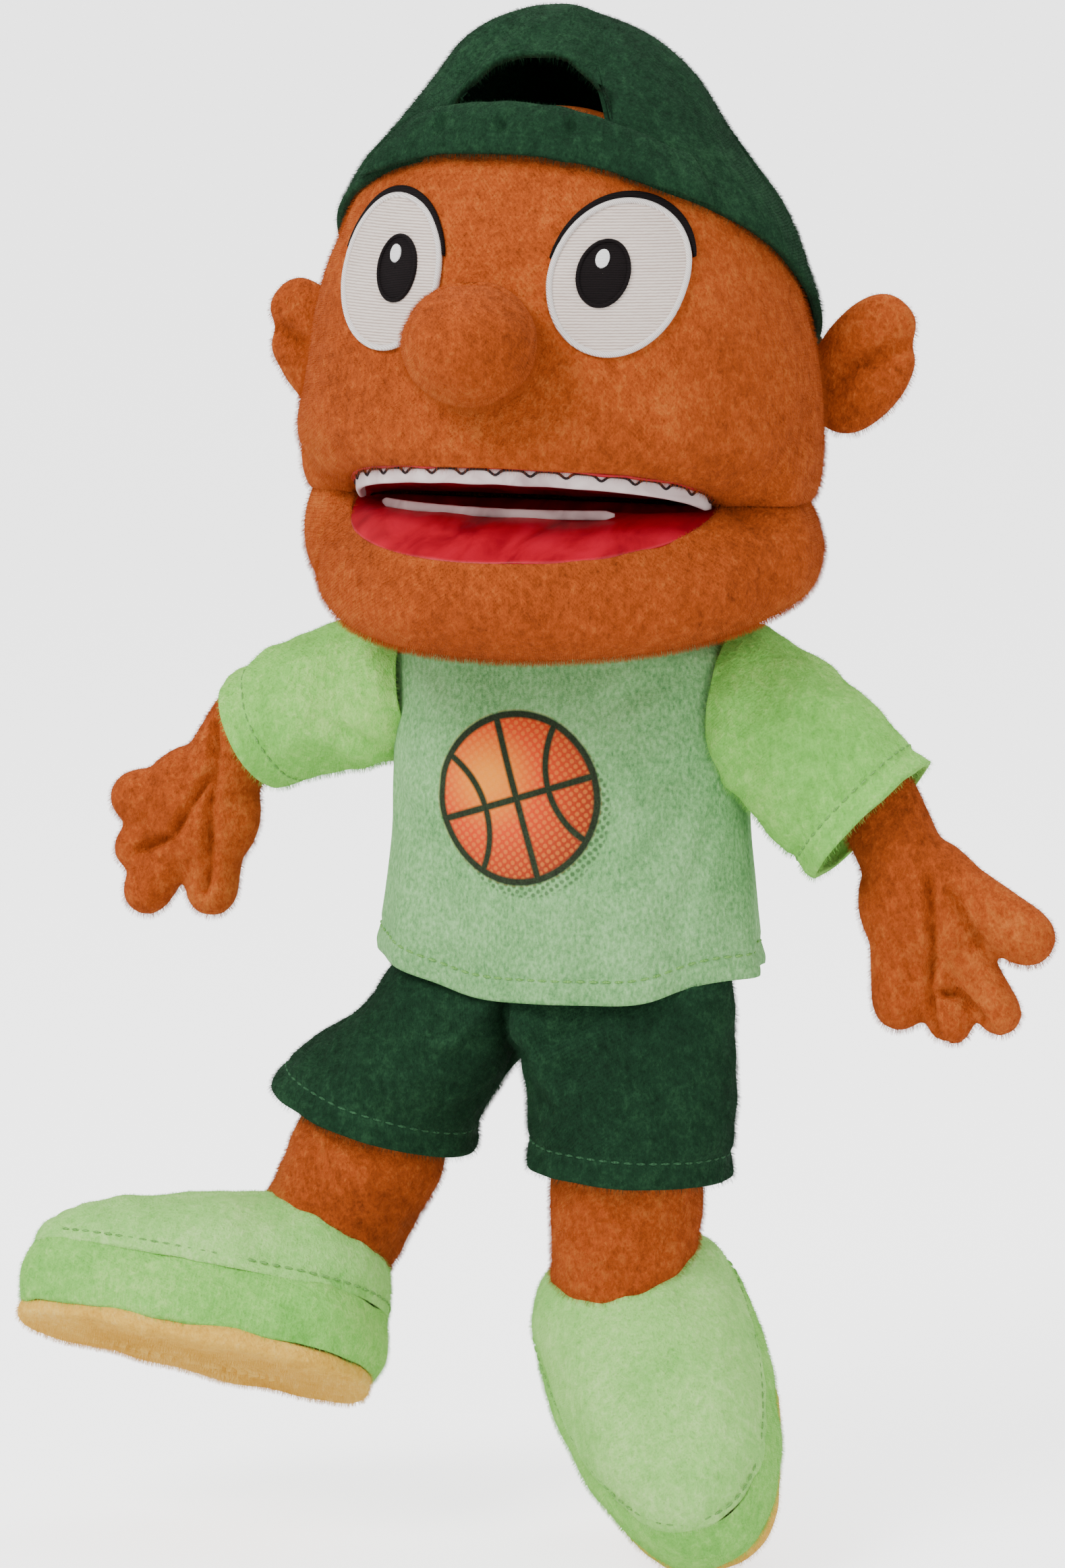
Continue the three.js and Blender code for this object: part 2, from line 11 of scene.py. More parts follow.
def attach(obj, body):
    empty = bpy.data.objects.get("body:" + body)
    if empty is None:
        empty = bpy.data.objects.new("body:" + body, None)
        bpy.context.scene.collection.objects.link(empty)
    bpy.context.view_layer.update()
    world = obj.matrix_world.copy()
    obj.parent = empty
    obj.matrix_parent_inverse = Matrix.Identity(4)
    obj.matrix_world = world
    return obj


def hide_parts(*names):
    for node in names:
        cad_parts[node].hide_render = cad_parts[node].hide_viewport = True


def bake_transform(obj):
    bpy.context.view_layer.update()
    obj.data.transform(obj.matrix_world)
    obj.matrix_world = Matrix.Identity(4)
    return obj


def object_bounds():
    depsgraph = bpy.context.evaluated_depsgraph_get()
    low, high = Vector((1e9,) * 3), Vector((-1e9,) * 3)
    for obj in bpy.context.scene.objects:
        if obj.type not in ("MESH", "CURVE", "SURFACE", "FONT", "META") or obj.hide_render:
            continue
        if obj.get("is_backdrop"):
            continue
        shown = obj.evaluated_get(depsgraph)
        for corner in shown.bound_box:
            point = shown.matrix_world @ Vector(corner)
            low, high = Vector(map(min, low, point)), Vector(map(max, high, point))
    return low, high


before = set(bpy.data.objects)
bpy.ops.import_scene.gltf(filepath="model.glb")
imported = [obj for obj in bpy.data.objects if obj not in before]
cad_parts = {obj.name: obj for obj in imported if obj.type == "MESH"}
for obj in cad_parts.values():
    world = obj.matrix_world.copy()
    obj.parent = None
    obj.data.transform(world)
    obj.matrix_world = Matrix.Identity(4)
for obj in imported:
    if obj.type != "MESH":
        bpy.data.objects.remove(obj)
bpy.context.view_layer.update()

MM = 0.001

Y_AXIS, Z_AXIS = np.array([0, 1.0, 0]), np.array([0, 0, 1.0])

# ---- driving sizes, in millimetres, close to those of the CAD model ---------------------
HEAD_Z, HEAD_UP, HEAD_DOWN = 152.0, 114.0, 58.0
HEAD_HALF_W, HEAD_HALF_D, HEAD_Y = 73.0, 62.0, -9.5
CAP_EDGE = dict(y=-50.0, z=232.0, slope=-0.7)
UNDER_CAP = 3  # how far above the cap's edge the head still has its full form and its pile
THICK = dict(plush=1.6, sleeve=1.7, shorts=1.8, neck=1.4, band=1.6, knit=1.3, lining=0.9, satin=0.7)
HEM = 7  # from the edge of a sleeve or leg of the shorts to its row of stitches
SIDES = {  # x: sign of the side; toe, sole: which way the foot's toe and sole point
    "right": dict(x=-1, toe=(-0.94, -0.27, 0.2), sole=(-0.07, -0.43, -0.9)),
    "left": dict(x=1, toe=(0.48, -0.67, -0.56), sole=(0.03, 0.65, -0.76)),
}


# ---- mesh helpers -----------------------------------------------------------------------
def unit(v):
    v = np.asarray(v, float)
    return v / np.linalg.norm(v)


def ease(x, a, b):
    """0 up to a, 1 from b on, smooth between."""
    t = np.clip((x - a) / (b - a), 0, 1)
    return t * t * (3 - 2 * t)


def power(wave, exponent):
    """A power that keeps the sign: below 1 it squares a circle off."""
    return np.sign(wave) * np.abs(wave) ** exponent


def bezier(a, b, c, d, t):
    return a * (1 - t) ** 3 + 3 * b * t * (1 - t) ** 2 + 3 * c * t * t * (1 - t) + d * t ** 3


def circle(count):
    return np.linspace(0, 2 * math.pi, count, endpoint=False)


def grid(nu, nv, u=(0, 1), v=(0, 1), wrap=False):
    return np.meshgrid(np.linspace(*u, nu, endpoint=not wrap), np.linspace(*v, nv), indexing="ij")


def add_object(name, data):
    obj = bpy.data.objects.new(name, data)
    bpy.context.collection.objects.link(obj)
    return obj


def mesh_of(name, bm):
    """A new mesh from bm, which is freed."""
    mesh = bpy.data.meshes.new(name)
    bm.to_mesh(mesh)
    bm.free()
    return mesh


def new_mesh(name, vertices, faces):
    mesh = bpy.data.meshes.new(name)
    mesh.from_pydata((np.asarray(vertices) * MM).tolist(), [], faces)
    mesh.update()
    return add_object(name, mesh)


def clean(obj):
    """Merges the points at a pole and turns the faces outward."""
    bm = bmesh.new()
    bm.from_mesh(obj.data)
    bmesh.ops.remove_doubles(bm, verts=bm.verts, dist=1e-6)
    bmesh.ops.dissolve_degenerate(bm, edges=bm.edges, dist=1e-7)
    bmesh.ops.recalc_face_normals(bm, faces=bm.faces)
    bm.to_mesh(obj.data)
    bm.free()
    obj.data.shade_smooth()
    return obj


def fill_ends(obj):
    """Closes the open ends of a tube."""
    bm = bmesh.new()
    bm.from_mesh(obj.data)
    bmesh.ops.holes_fill(bm, edges=bm.edges)
    bmesh.ops.recalc_face_normals(bm, faces=bm.faces)
    bm.to_mesh(obj.data)
    bm.free()
    return obj


def skin(name, points, wrap=False):
    """A grid of points[u, v] as one surface; wrap joins the last row in u to the first."""
    nu, nv = points.shape[:2]
    faces = []
    for i in range(nu if wrap else nu - 1):
        k = (i + 1) % nu
        for j in range(nv - 1):
            faces.append((i * nv + j, k * nv + j, k * nv + j + 1, i * nv + j + 1))
    return clean(new_mesh(name, points.reshape(-1, 3), faces))


def settle(obj):
    """Applies every modifier, so that the mesh is final."""
    graph = bpy.context.evaluated_depsgraph_get()
    mesh = bpy.data.meshes.new_from_object(obj.evaluated_get(graph))
    obj.modifiers.clear()
    obj.data = mesh
    mesh.shade_smooth()
    return obj


def thicken(obj, mm, inward=True):
    """Gives a surface the thickness of cloth. Its first "outer" points are the side seen."""
    obj["outer"] = len(obj.data.vertices)
    m = obj.modifiers.new("cloth", "SOLIDIFY")
    m.thickness = mm * MM
    m.offset = -1 if inward else 1
    m.use_even_offset = False
    return settle(obj)


def points_of(obj):
    """The vertices in mm."""
    co = np.empty(len(obj.data.vertices) * 3)
    obj.data.vertices.foreach_get("co", co)
    return co.reshape(-1, 3) / MM


def set_points(obj, p):
    obj.data.vertices.foreach_set("co", (p * MM).ravel())
    obj.data.update()


def push(obj, amount):
    """Moves each point along its normal by amount(points) in mm."""
    p = points_of(obj)
    n = np.array([v.vector for v in obj.data.vertex_normals])
    set_points(obj, p + n * np.asarray(amount(p))[:, None])


def lumps(p, size, seed, waves=7):
    """Smooth pseudo-random unevenness from -1 to 1, with features of about size mm."""
    rng = np.random.RandomState(seed)
    total = np.zeros(len(p))
    for _ in range(waves):
        k = rng.normal(size=3)
        k = k / np.linalg.norm(k) * (2 * math.pi / size) * rng.uniform(0.6, 1.5)
        total += np.sin(p @ k + rng.uniform(0, 6.28))
    return total / waves * 1.6


def uneven(p, *layers):
    """Several lumps() at once: layers of (size, seed, height), all in mm but the seed."""
    return sum(lumps(p, size, seed) * height for size, seed, height in layers)


def bell(x, at, width):
    return np.exp(-((x - at) / width) ** 2)


def crease(p, a, b, width, depth):
    """A valley from a to b, with a soft ridge on both sides."""
    a, b = np.array(a, float), np.array(b, float)
    d = b - a
    t = np.clip((p - a) @ d / (d @ d), 0, 1)
    r = np.linalg.norm(p - (a + t[:, None] * d), axis=1) / width
    taper = np.sqrt(np.clip(np.sin(np.pi * np.clip(t * 0.9 + 0.05, 0, 1)), 0, 1))
    return -depth * taper * (1 - 0.9 * r * r) * np.exp(-r * r)


def copy_nodes(name, nodes, voxel, smooth, factor=0.5):
    """One soft closed form from CAD solids: remeshed together, then smoothed."""
    bm = bmesh.new()
    for node in nodes:
        bm.from_mesh(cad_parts[node].data)
    obj = add_object(name, mesh_of(name, bm))
    m = obj.modifiers.new("remesh", "REMESH")
    m.mode, m.voxel_size = "VOXEL", voxel * MM
    s = obj.modifiers.new("smooth", "SMOOTH")
    s.iterations, s.factor = smooth, factor
    return settle(obj)


def rope(name, path, radius, sides=8, closed=False):
    """A round strand along path (points in mm)."""
    path = np.asarray(path, float)
    n = len(path)
    if closed:
        tangent = np.roll(path, -1, 0) - np.roll(path, 1, 0)
    else:
        tangent = np.gradient(path, axis=0)
    tangent /= np.linalg.norm(tangent, axis=1)[:, None]
    side = np.cross(tangent, [0.31, 0.42, 0.85])
    side /= np.linalg.norm(side, axis=1)[:, None]
    up = np.cross(tangent, side)
    turn = circle(sides)
    radius = np.broadcast_to(np.asarray(radius, float), (n,))
    ring = (np.cos(turn)[None, :, None] * side[:, None] + np.sin(turn)[None, :, None] * up[:, None])
    points = path[:, None] + ring * radius[:, None, None]
    vertices = points.reshape(-1, 3)
    faces = []
    for i in range(n if closed else n - 1):
        k = (i + 1) % n
        for j in range(sides):
            m = (j + 1) % sides
            faces.append((i * sides + j, i * sides + m, k * sides + m, k * sides + j))
    if not closed:
        faces.append(tuple(range(sides - 1, -1, -1)))
        faces.append(tuple(range((n - 1) * sides, n * sides)))
    return clean(new_mesh(name, vertices, faces))


def join(name, objects):
    bm = bmesh.new()
    for o in objects:
        bm.from_mesh(o.data)
        bpy.data.objects.remove(o)
    mesh = mesh_of(name, bm)
    mesh.shade_smooth()
    return add_object(name, mesh)


def resample(path, step, closed=False):
    """Evenly spaced points on path, about step apart."""
    path = np.asarray(path, float)
    if closed:
        path = np.vstack([path, path[:1]])
    along = np.r_[0, np.cumsum(np.linalg.norm(np.diff(path, axis=0), axis=1))]
    count = max(2, int(round(along[-1] / step)))
    s = np.linspace(0, along[-1], count, endpoint=not closed)
    return np.stack([np.interp(s, along, path[:, k]) for k in range(3)], 1)


def stitches(name, path, length=2.4, gap=1.1, radius=0.4, closed=False):
    """Topstitching: short thread lengths along path, dipping at both ends."""
    dense = resample(path, length + gap, closed)
    nxt = np.roll(dense, -1, 0) if closed else dense[1:]
    threads = []
    for a, b in zip(dense, nxt):
        d = unit(b - a)
        t = np.linspace(0, 1, 5)[:, None]
        thin = radius * np.sin(np.pi * (0.12 + 0.76 * t[:, 0]))
        threads.append(rope("thread", a + d * length * t, thin, 5))
    return join(name, threads)


# ---- materials --------------------------------------------------------------------------
def linear(hex_colour):
    rgb = [int(hex_colour[i:i + 2], 16) / 255 for i in (0, 2, 4)]
    return [c / 12.92 if c <= 0.04045 else ((c + 0.055) / 1.055) ** 2.4 for c in rgb] + [1]


class Nodes:
    """A short way to write a node tree."""

    def __init__(self, name):
        self.mat = bpy.data.materials.new(name)
        self.mat.use_nodes = True
        self.tree = self.mat.node_tree
        self.shader = self.tree.nodes["Principled BSDF"]
        self.place = self.add("ShaderNodeTexCoord").outputs["Object"]

    def add(self, kind, **values):
        node = self.tree.nodes.new(kind)
        for key, value in values.items():
            setattr(node, key, value)
        return node

    def link(self, a, b):
        self.tree.links.new(a, b)

    def put(self, socket, value):
        if isinstance(value, bpy.types.NodeSocket):
            self.link(value, socket)
        else:
            socket.default_value = value

    def math(self, op, a, b=0.0, c=None, clamp=False):
        n = self.add("ShaderNodeMath", operation=op, use_clamp=clamp)
        self.put(n.inputs[0], a)
        self.put(n.inputs[1], b)
        if c is not None:
            self.put(n.inputs[2], c)
        return n.outputs[0]

    def scaled(self, scale, rotation=(0, 0, 0)):
        n = self.add("ShaderNodeMapping")
        n.inputs["Scale"].default_value = scale
        n.inputs["Rotation"].default_value = rotation
        self.link(self.place, n.inputs["Vector"])
        return n.outputs[0]

    def noise(self, scale, detail=2.0, vector=None, rough=0.5, distortion=0.0):
        n = self.add("ShaderNodeTexNoise")
        n.inputs["Scale"].default_value = scale
        n.inputs["Detail"].default_value = detail
        n.inputs["Roughness"].default_value = rough
        n.inputs["Distortion"].default_value = distortion
        self.link(vector or self.place, n.inputs["Vector"])
        return n.outputs["Fac"]

    def ramp(self, fac, *stops):
        n = self.add("ShaderNodeValToRGB")
        for _ in range(len(stops) - 2):
            n.color_ramp.elements.new(0.5)
        for element, (at, colour) in zip(n.color_ramp.elements, stops):
            element.position, element.color = at, colour
        self.link(fac, n.inputs[0])
        return n.outputs[0]

    def mix(self, fac, a, b):
        n = self.add("ShaderNodeMix", data_type="RGBA")
        self.put(n.inputs[0], fac)
        self.put(n.inputs[6], a)
        self.put(n.inputs[7], b)
        return n.outputs[2]

    def bump(self, height, strength, distance):
        n = self.add("ShaderNodeBump")
        n.inputs["Strength"].default_value = strength
        n.inputs["Distance"].default_value = distance
        self.link(height, n.inputs["Height"])
        self.link(n.outputs[0], self.shader.inputs["Normal"])

    def surface(self, roughness, sheen=0.0, sheen_tint=None, specular=0.3, coat=0.0):
        i = self.shader.inputs
        i["Roughness"].default_value = roughness
        i["Specular IOR Level"].default_value = specular
        i["Sheen Weight"].default_value = sheen
        i["Sheen Roughness"].default_value = 0.45
        if sheen_tint:
            i["Sheen Tint"].default_value = sheen_tint
        i["Coat Weight"].default_value = coat


def plush(name, dark, base, light, sheen=0.35, along=(0.8, 0.8, 0.6), patch=26):
    """Short-pile plush: patches where the pile lies another way, streaks along it, and fibres."""
    n = Nodes(name)
    patches = n.noise(patch, 2, distortion=0.6)
    streak = n.noise(480, 3, n.scaled(along), rough=0.6, distortion=0.4)
    fibre = n.noise(1500, 2, n.scaled(along), rough=0.7)
    fine = n.math("MULTIPLY_ADD", streak, 0.35, n.math("MULTIPLY", fibre, 0.3))
    tone = n.math("MULTIPLY_ADD", patches, 0.3, fine)
    colour = n.ramp(tone, (0.26, linear(dark)), (0.48, linear(base)), (0.72, linear(light)))
    n.link(colour, n.shader.inputs["Base Color"])
    n.surface(0.95, sheen, linear(light), specular=0.15)
    n.bump(n.math("ADD", n.math("MULTIPLY", streak, 1.2), fibre), 0.55, 0.0011)
    return n.mat


def satin(name, dark, base, light):
    n = Nodes(name)
    weave = n.noise(2600, 1, n.scaled((1, 1, 0.25)))
    folds = n.noise(60, 3, n.scaled((1.6, 0.5, 1.6)), distortion=0.8)
    colour = n.ramp(folds, (0.3, linear(dark)), (0.5, linear(base)), (0.72, linear(light)))
    n.link(colour, n.shader.inputs["Base Color"])
    n.surface(0.5, 0.08, linear(light), specular=0.3)
    n.shader.inputs["Anisotropic"].default_value = 0.4
    n.bump(n.math("ADD", n.math("MULTIPLY", folds, 2.0), n.math("MULTIPLY", weave, 0.15)), 0.25, 0.0008)
    return n.mat


def embroidery(name, base, light, pitch, direction, gloss=0.4):
    """Rows of shiny thread; direction is the axis that the rows follow one after another."""
    n = Nodes(name)
    wave = n.add("ShaderNodeTexWave", wave_type="BANDS", bands_direction=direction, wave_profile="SIN")
    wave.inputs["Scale"].default_value = 0.314 / (pitch * MM)
    wave.inputs["Distortion"].default_value = 0.8
    wave.inputs["Detail"].default_value = 1
    wave.inputs["Detail Scale"].default_value = 2.5
    n.link(n.place, wave.inputs["Vector"])
    broken = n.noise(900, 2, n.scaled((0.25, 0.25, 2.4)))
    tone = n.math("MULTIPLY_ADD", wave.outputs["Fac"], 0.7, n.math("MULTIPLY", broken, 0.3))
    n.link(n.ramp(tone, (0.12, linear(base)), (0.6, linear(light))), n.shader.inputs["Base Color"])
    n.surface(0.9 - gloss, 0.25 * gloss, linear(light), specular=gloss)
    n.bump(tone, 0.6, 0.0004)
    return n.mat


def woven(name, base, light, pitch=0.7):
    n = Nodes(name)
    fibres = n.noise(1 / (pitch * MM), 2, n.scaled((1, 1, 1)))
    n.link(n.ramp(fibres, (0.3, linear(base)), (0.7, linear(light))), n.shader.inputs["Base Color"])
    n.surface(0.85, 0.2, linear(light), specular=0.2)
    n.bump(fibres, 0.5, 0.0004)
    return n.mat


def heather(n):
    """Brushed knit with pale flecks: returns its colour and height."""
    flecks = n.noise(1300, 3, n.scaled((0.8, 0.8, 0.5)), rough=0.6)
    soft = n.noise(45, 2)
    grain = n.noise(2600, 1)
    rest = n.math("MULTIPLY_ADD", soft, 0.3, n.math("MULTIPLY", grain, 0.12))
    tone = n.math("MULTIPLY_ADD", flecks, 0.75, rest)
    colour = n.ramp(tone, (0.36, linear(KNIT[0])), (0.58, linear(KNIT[1])), (0.9, linear(KNIT[2])))
    return colour, n.math("ADD", flecks, n.math("MULTIPLY", grain, 0.6))


KNIT = ("4A8048", "72A768", "A2D094")
SKIN = ("642709", "A64A19", "CC7936")
DARK = ("091A0F", "173521", "2F5637")
LIGHT = ("58A83A", "86CC5C", "C2EA88")
YELLOW = ("C98F2A", "E8B84E", "F6D886")


def knit():
    n = Nodes("knit_heather_green")
    colour, height = heather(n)
    n.link(colour, n.shader.inputs["Base Color"])
    n.surface(0.9, 0.3, linear(KNIT[2]), specular=0.2)
    n.bump(height, 0.5, 0.0006)
    return n.mat


BALL = dict(x=-5.0, z=54.0, r=24.0, turn=18.0)


def printed_knit():
    """The shirt front: heathered knit with a printed orange ball and a dotted shadow."""
    n = Nodes("knit_with_ball_print")
    cloth, height = heather(n)
    place = n.add("ShaderNodeSeparateXYZ")
    n.link(n.place, place.inputs[0])
    px = n.math("DIVIDE", n.math("SUBTRACT", place.outputs[0], BALL["x"] * MM), BALL["r"] * MM)
    pz = n.math("DIVIDE", n.math("SUBTRACT", place.outputs[2], BALL["z"] * MM), BALL["r"] * MM)
    c, s = math.cos(math.radians(BALL["turn"])), math.sin(math.radians(BALL["turn"]))
    x = n.math("ADD", n.math("MULTIPLY", px, c), n.math("MULTIPLY", pz, s))
    z = n.math("SUBTRACT", n.math("MULTIPLY", pz, c), n.math("MULTIPLY", px, s))

    def reach(a, b):
        return n.math("SQRT", n.math("ADD", n.math("MULTIPLY", a, a), n.math("MULTIPLY", b, b)))

    def step(value, at, soft=0.015):
        return n.math("MULTIPLY", n.math("SUBTRACT", value, at - soft), 0.5 / soft, clamp=True)

    def line(distance, half):
        return n.math("SUBTRACT", 1.0, step(n.math("ABSOLUTE", distance), half))

    r = reach(x, z)
    inside = n.math("SUBTRACT", 1.0, step(r, 1.0))
    rim = line(n.math("SUBTRACT", r, 0.96), 0.048)
    lines = [rim, line(x, 0.044), line(z, 0.044)]
    for side in (-1, 1):
        far = reach(n.math("SUBTRACT", x, side * 1.42), z)
        lines.append(line(n.math("SUBTRACT", far, 1.02), 0.042))
    ink = lines[0]
    for extra in lines[1:]:
        ink = n.math("MAXIMUM", ink, extra)
    dots = n.add("ShaderNodeTexVoronoi", feature="F1")
    dots.inputs["Scale"].default_value = 560
    dots.inputs["Randomness"].default_value = 0.0
    n.link(n.scaled((1, 0.0, 1), (0, math.radians(38), 0)), dots.inputs["Vector"])
    dot = n.math("SUBTRACT", 1.0, step(dots.outputs["Distance"], 0.34, 0.1))
    shade = n.math("MULTIPLY", reach(n.math("ADD", px, 0.35), n.math("SUBTRACT", pz, 0.2)), 0.8)
    body = n.ramp(shade, (0.1, linear("F58A18")), (0.5, linear("DC3402")), (1.0, linear("961600")))
    pale = n.mix(n.math("MULTIPLY", dot, 0.34), body, linear("F29038"))
    ball = n.mix(ink, pale, linear("140A0B"))
    fall = reach(n.math("SUBTRACT", px, 0.11), n.math("ADD", pz, 0.13))
    shadow = n.math("MULTIPLY", n.math("SUBTRACT", 1.0, step(fall, 1.0)), n.math("MULTIPLY", dot, 0.75))
    ground = n.mix(shadow, cloth, linear("34542E"))
    picture = n.mix(inside, ground, ball)
    worn = n.mix(n.math("MULTIPLY", n.noise(1800, 2), 0.12), picture, cloth)
    front = n.math("LESS_THAN", place.outputs[1], 0.0)
    n.link(n.mix(front, cloth, worn), n.shader.inputs["Base Color"])
    n.surface(0.9, 0.25, linear(KNIT[2]), specular=0.2)
    n.bump(height, 0.45, 0.0006)
    return n.mat


M = {
    "skin": plush("plush_orange_brown", *SKIN, sheen=0.18),
    "dark": plush("plush_dark_green", *DARK, sheen=0.15),
    "light": plush("plush_light_green", *LIGHT, sheen=0.4, patch=34),
    "yellow": plush("plush_yellow_sole", *YELLOW),
    "knit": knit(),
    "print": printed_knit(),
    "red": satin("satin_red", "86041A", "B00824", "C60E30"),
    "pale": satin("satin_pale", "A78E8E", "CDB9B7", "E2D3CF"),
    "eye": embroidery("thread_white_rows", "AE988C", "EBDDD3", 0.8, "Z"),
    "rim": embroidery("thread_white_satin", "C7BAB4", "F4EEEA", 0.4, "DIAGONAL"),
    "black": embroidery("thread_black", "050404", "1B1516", 0.45, "Z", gloss=0.1),
    "spark": embroidery("thread_highlight", "DAD6D4", "FFFFFF", 0.4, "Z"),
    "ink": woven("thread_dark", "150D0E", "2C2022", 0.4),
    "lining": woven("lining_cloth", "9C6A42", "CFA27C", 0.8),
    "board": woven("fibre_board", "57524D", "8D867E", 1.2),
    "thread_green": woven("thread_green", "4C8438", "86BC66", 0.4),
    "thread_dark_green": woven("thread_dark_green", "1A3A24", "3E6B48", 0.4),
    "inside": woven("inside_dark_cloth", "1A1210", "2C201C", 0.8),
    "pale_green": plush("plush_pale_green_brushed", "6ABB4A", "9AD670", "CDEE9E", sheen=0.4, patch=40),
}


def dress(obj, material):
    obj.data.materials.clear()
    obj.data.materials.append(M[material])
    return obj


# ---- pile -------------------------------------------------------------------------------
# Fibres in mm, and how much each stands up, lies along the comb and strays. Blender makes a
# strand four times as long as these factors.
PILE = dict(length=1.5, per_cm2=330, radius=0.06)
NORMAL, COMB, LOOSE = 0.75, 0.45, 0.35
STRAND = 4


def area_cm2(obj):
    return sum(f.area for f in obj.data.polygons) * 1e4


def pile(obj, seed, comb=(0, 0, -1), bare=None, share=1.0, length=None):
    """Short fibres that lean along comb. bare(points) is true where none grow."""
    group = obj.vertex_groups.new(name="pile")
    p = points_of(obj)
    grows = np.ones(len(p), bool) if bare is None else ~bare(p)
    if "outer" in obj:
        grows[obj["outer"]:] = False
    group.add([int(i) for i in np.nonzero(grows)[0]], 1.0, "REPLACE")
    m = obj.modifiers.new("pile", "PARTICLE_SYSTEM")
    system = m.particle_system
    system.seed = seed
    system.vertex_group_density = "pile"
    s = system.settings
    s.type = "HAIR"
    s.use_advanced_hair = True
    size = (length or PILE["length"]) * MM
    s.hair_length = size
    s.count = int(area_cm2(obj) * grows.mean() * PILE["per_cm2"] * share)
    s.hair_step = 3
    s.render_step = 2
    s.display_step = 1
    s.normal_factor = NORMAL * size / STRAND
    s.object_align_factor = [c * COMB * size / STRAND for c in comb]
    s.factor_random = LOOSE * size / STRAND
    s.root_radius, s.tip_radius = 1.0, 0.35
    s.radius_scale = PILE["radius"] * MM
    s.material = 1
    return obj


# ---- head -------------------------------------------------------------------------------
LIP = dict(corner=68.0, corner_z=136.0, upper=13.0, lower=12.5, pinch=16.0)


def head_form(phi, z, grow=0.0):
    """The full head at the turn phi (0 is the middle of the face) and the height z."""
    h = np.where(z >= HEAD_Z, HEAD_UP + grow, HEAD_DOWN + grow)
    s = np.clip((z - HEAD_Z) / h, -1, 1)
    w = np.sqrt(1 - s * s)
    up, low = np.where(s > 0, s * s, 0), np.where(s < 0, s * s, 0)
    a = w * (HEAD_HALF_W + grow) * (1 - 0.14 * up + 0.35 * low)
    b = w * (HEAD_HALF_D + grow) * (1 - 0.3 * up + 0.1 * low)
    y = HEAD_Y + 4 * up - 34 * low
    return np.stack([a * np.sin(phi), y - b * np.cos(phi), z], -1)


def mouth_share(phi):
    """1 in the middle of the mouth, 0 from its corners on."""
    return np.clip(1 - (phi / math.radians(LIP["corner"])) ** 2, 0, 1)


def edge_pinch(phi):
    """How far the sewn edge lies inside the full form: deep at the corners of the mouth."""
    deg = np.abs(np.degrees(phi))
    inside = (np.clip(deg / LIP["corner"], 0, 1)) ** 1.7
    outside = 1 - 0.88 * ease(deg, LIP["corner"], LIP["corner"] + 18)
    return np.where(deg < LIP["corner"], 0.8 + LIP["pinch"] * inside, (0.8 + LIP["pinch"]) * outside)


def lip_edge(phi, lower=False):
    """The edge of the upper (or lower) head panel, all round the head."""
    share = mouth_share(phi)
    z = LIP["corner_z"] - ease(np.abs(phi), 1.2, math.pi) * 2
    z = z - LIP["lower"] * share ** 0.9 if lower else z + LIP["upper"] * share ** 0.8
    level = np.full_like(phi, LIP["corner_z"])
    p = head_form(phi, level)
    out = np.stack([p[..., 0] / HEAD_HALF_W ** 2, (p[..., 1] - HEAD_Y) / HEAD_HALF_D ** 2], -1)
    out /= np.linalg.norm(out, axis=-1, keepdims=True)
    pinch = edge_pinch(phi)
    forward = share * (2.0 if lower else 0.0)
    x = p[..., 0] - out[..., 0] * pinch
    y = p[..., 1] - out[..., 1] * pinch - forward
    return np.stack([x, y, z], -1)


def cap_level(x, y):
    """The height of the cap's edge over (x, y)."""
    return CAP_EDGE["z"] + CAP_EDGE["slope"] * (y - CAP_EDGE["y"]) - 4 * x / 70


def head_upper():
    """The skin above the mouth, right round the head."""
    phi, t = grid(264, 120, (-math.pi, math.pi), wrap=True)
    edge = lip_edge(phi)
    base = edge[..., 2]
    lam0 = np.arcsin(np.clip((base - HEAD_Z) / np.where(base > HEAD_Z, HEAD_UP, HEAD_DOWN), -1, 1))
    lam = lam0 + (math.pi / 2 - lam0) * t ** 1.15
    z = HEAD_Z + np.where(lam > 0, HEAD_UP, HEAD_DOWN) * np.sin(lam)
    p = head_form(phi, z)
    roll_height = 7 + 11 * ease(edge_pinch(phi), 2, 14)
    h = np.clip((z - base) / roll_height, 0, 1)
    roll = 1 - np.sqrt(np.clip(1 - (1 - h) ** 2, 0, 1))
    full = head_form(phi, base)
    p[..., :2] += (edge - full)[..., :2] * roll[..., None]
    sunk = cap_level(p[..., 0], p[..., 1]) + UNDER_CAP
    p[..., 2] = np.where(p[..., 2] > sunk, sunk + 0.6 * (p[..., 2] - sunk), p[..., 2])
    obj = skin("head_plush", p, wrap=True)
    q = points_of(obj)
    face = ease(q[:, 2], 140, 165) * ease(-q[:, 1], -60, 20)
    dent = uneven(q, (46, 3, 0.9), (17, 4, 0.28))
    for s in (-1, 1):
        dent += crease(q, (s * 60, -38, 137), (s * 71, -14, 158), 7, 2.2)
        dent += crease(q, (s * 44, -62, 146), (s * 66, -36, 150), 9, 1.1)
        dent += crease(q, (s * 71, 8, 188), (s * 70, 16, 150), 8, 1.6)
    dent += crease(q, (-20, -74, 172), (20, -74, 172), 9, 1.0)
    push(obj, lambda _: dent * (0.55 + 0.45 * face))
    return obj


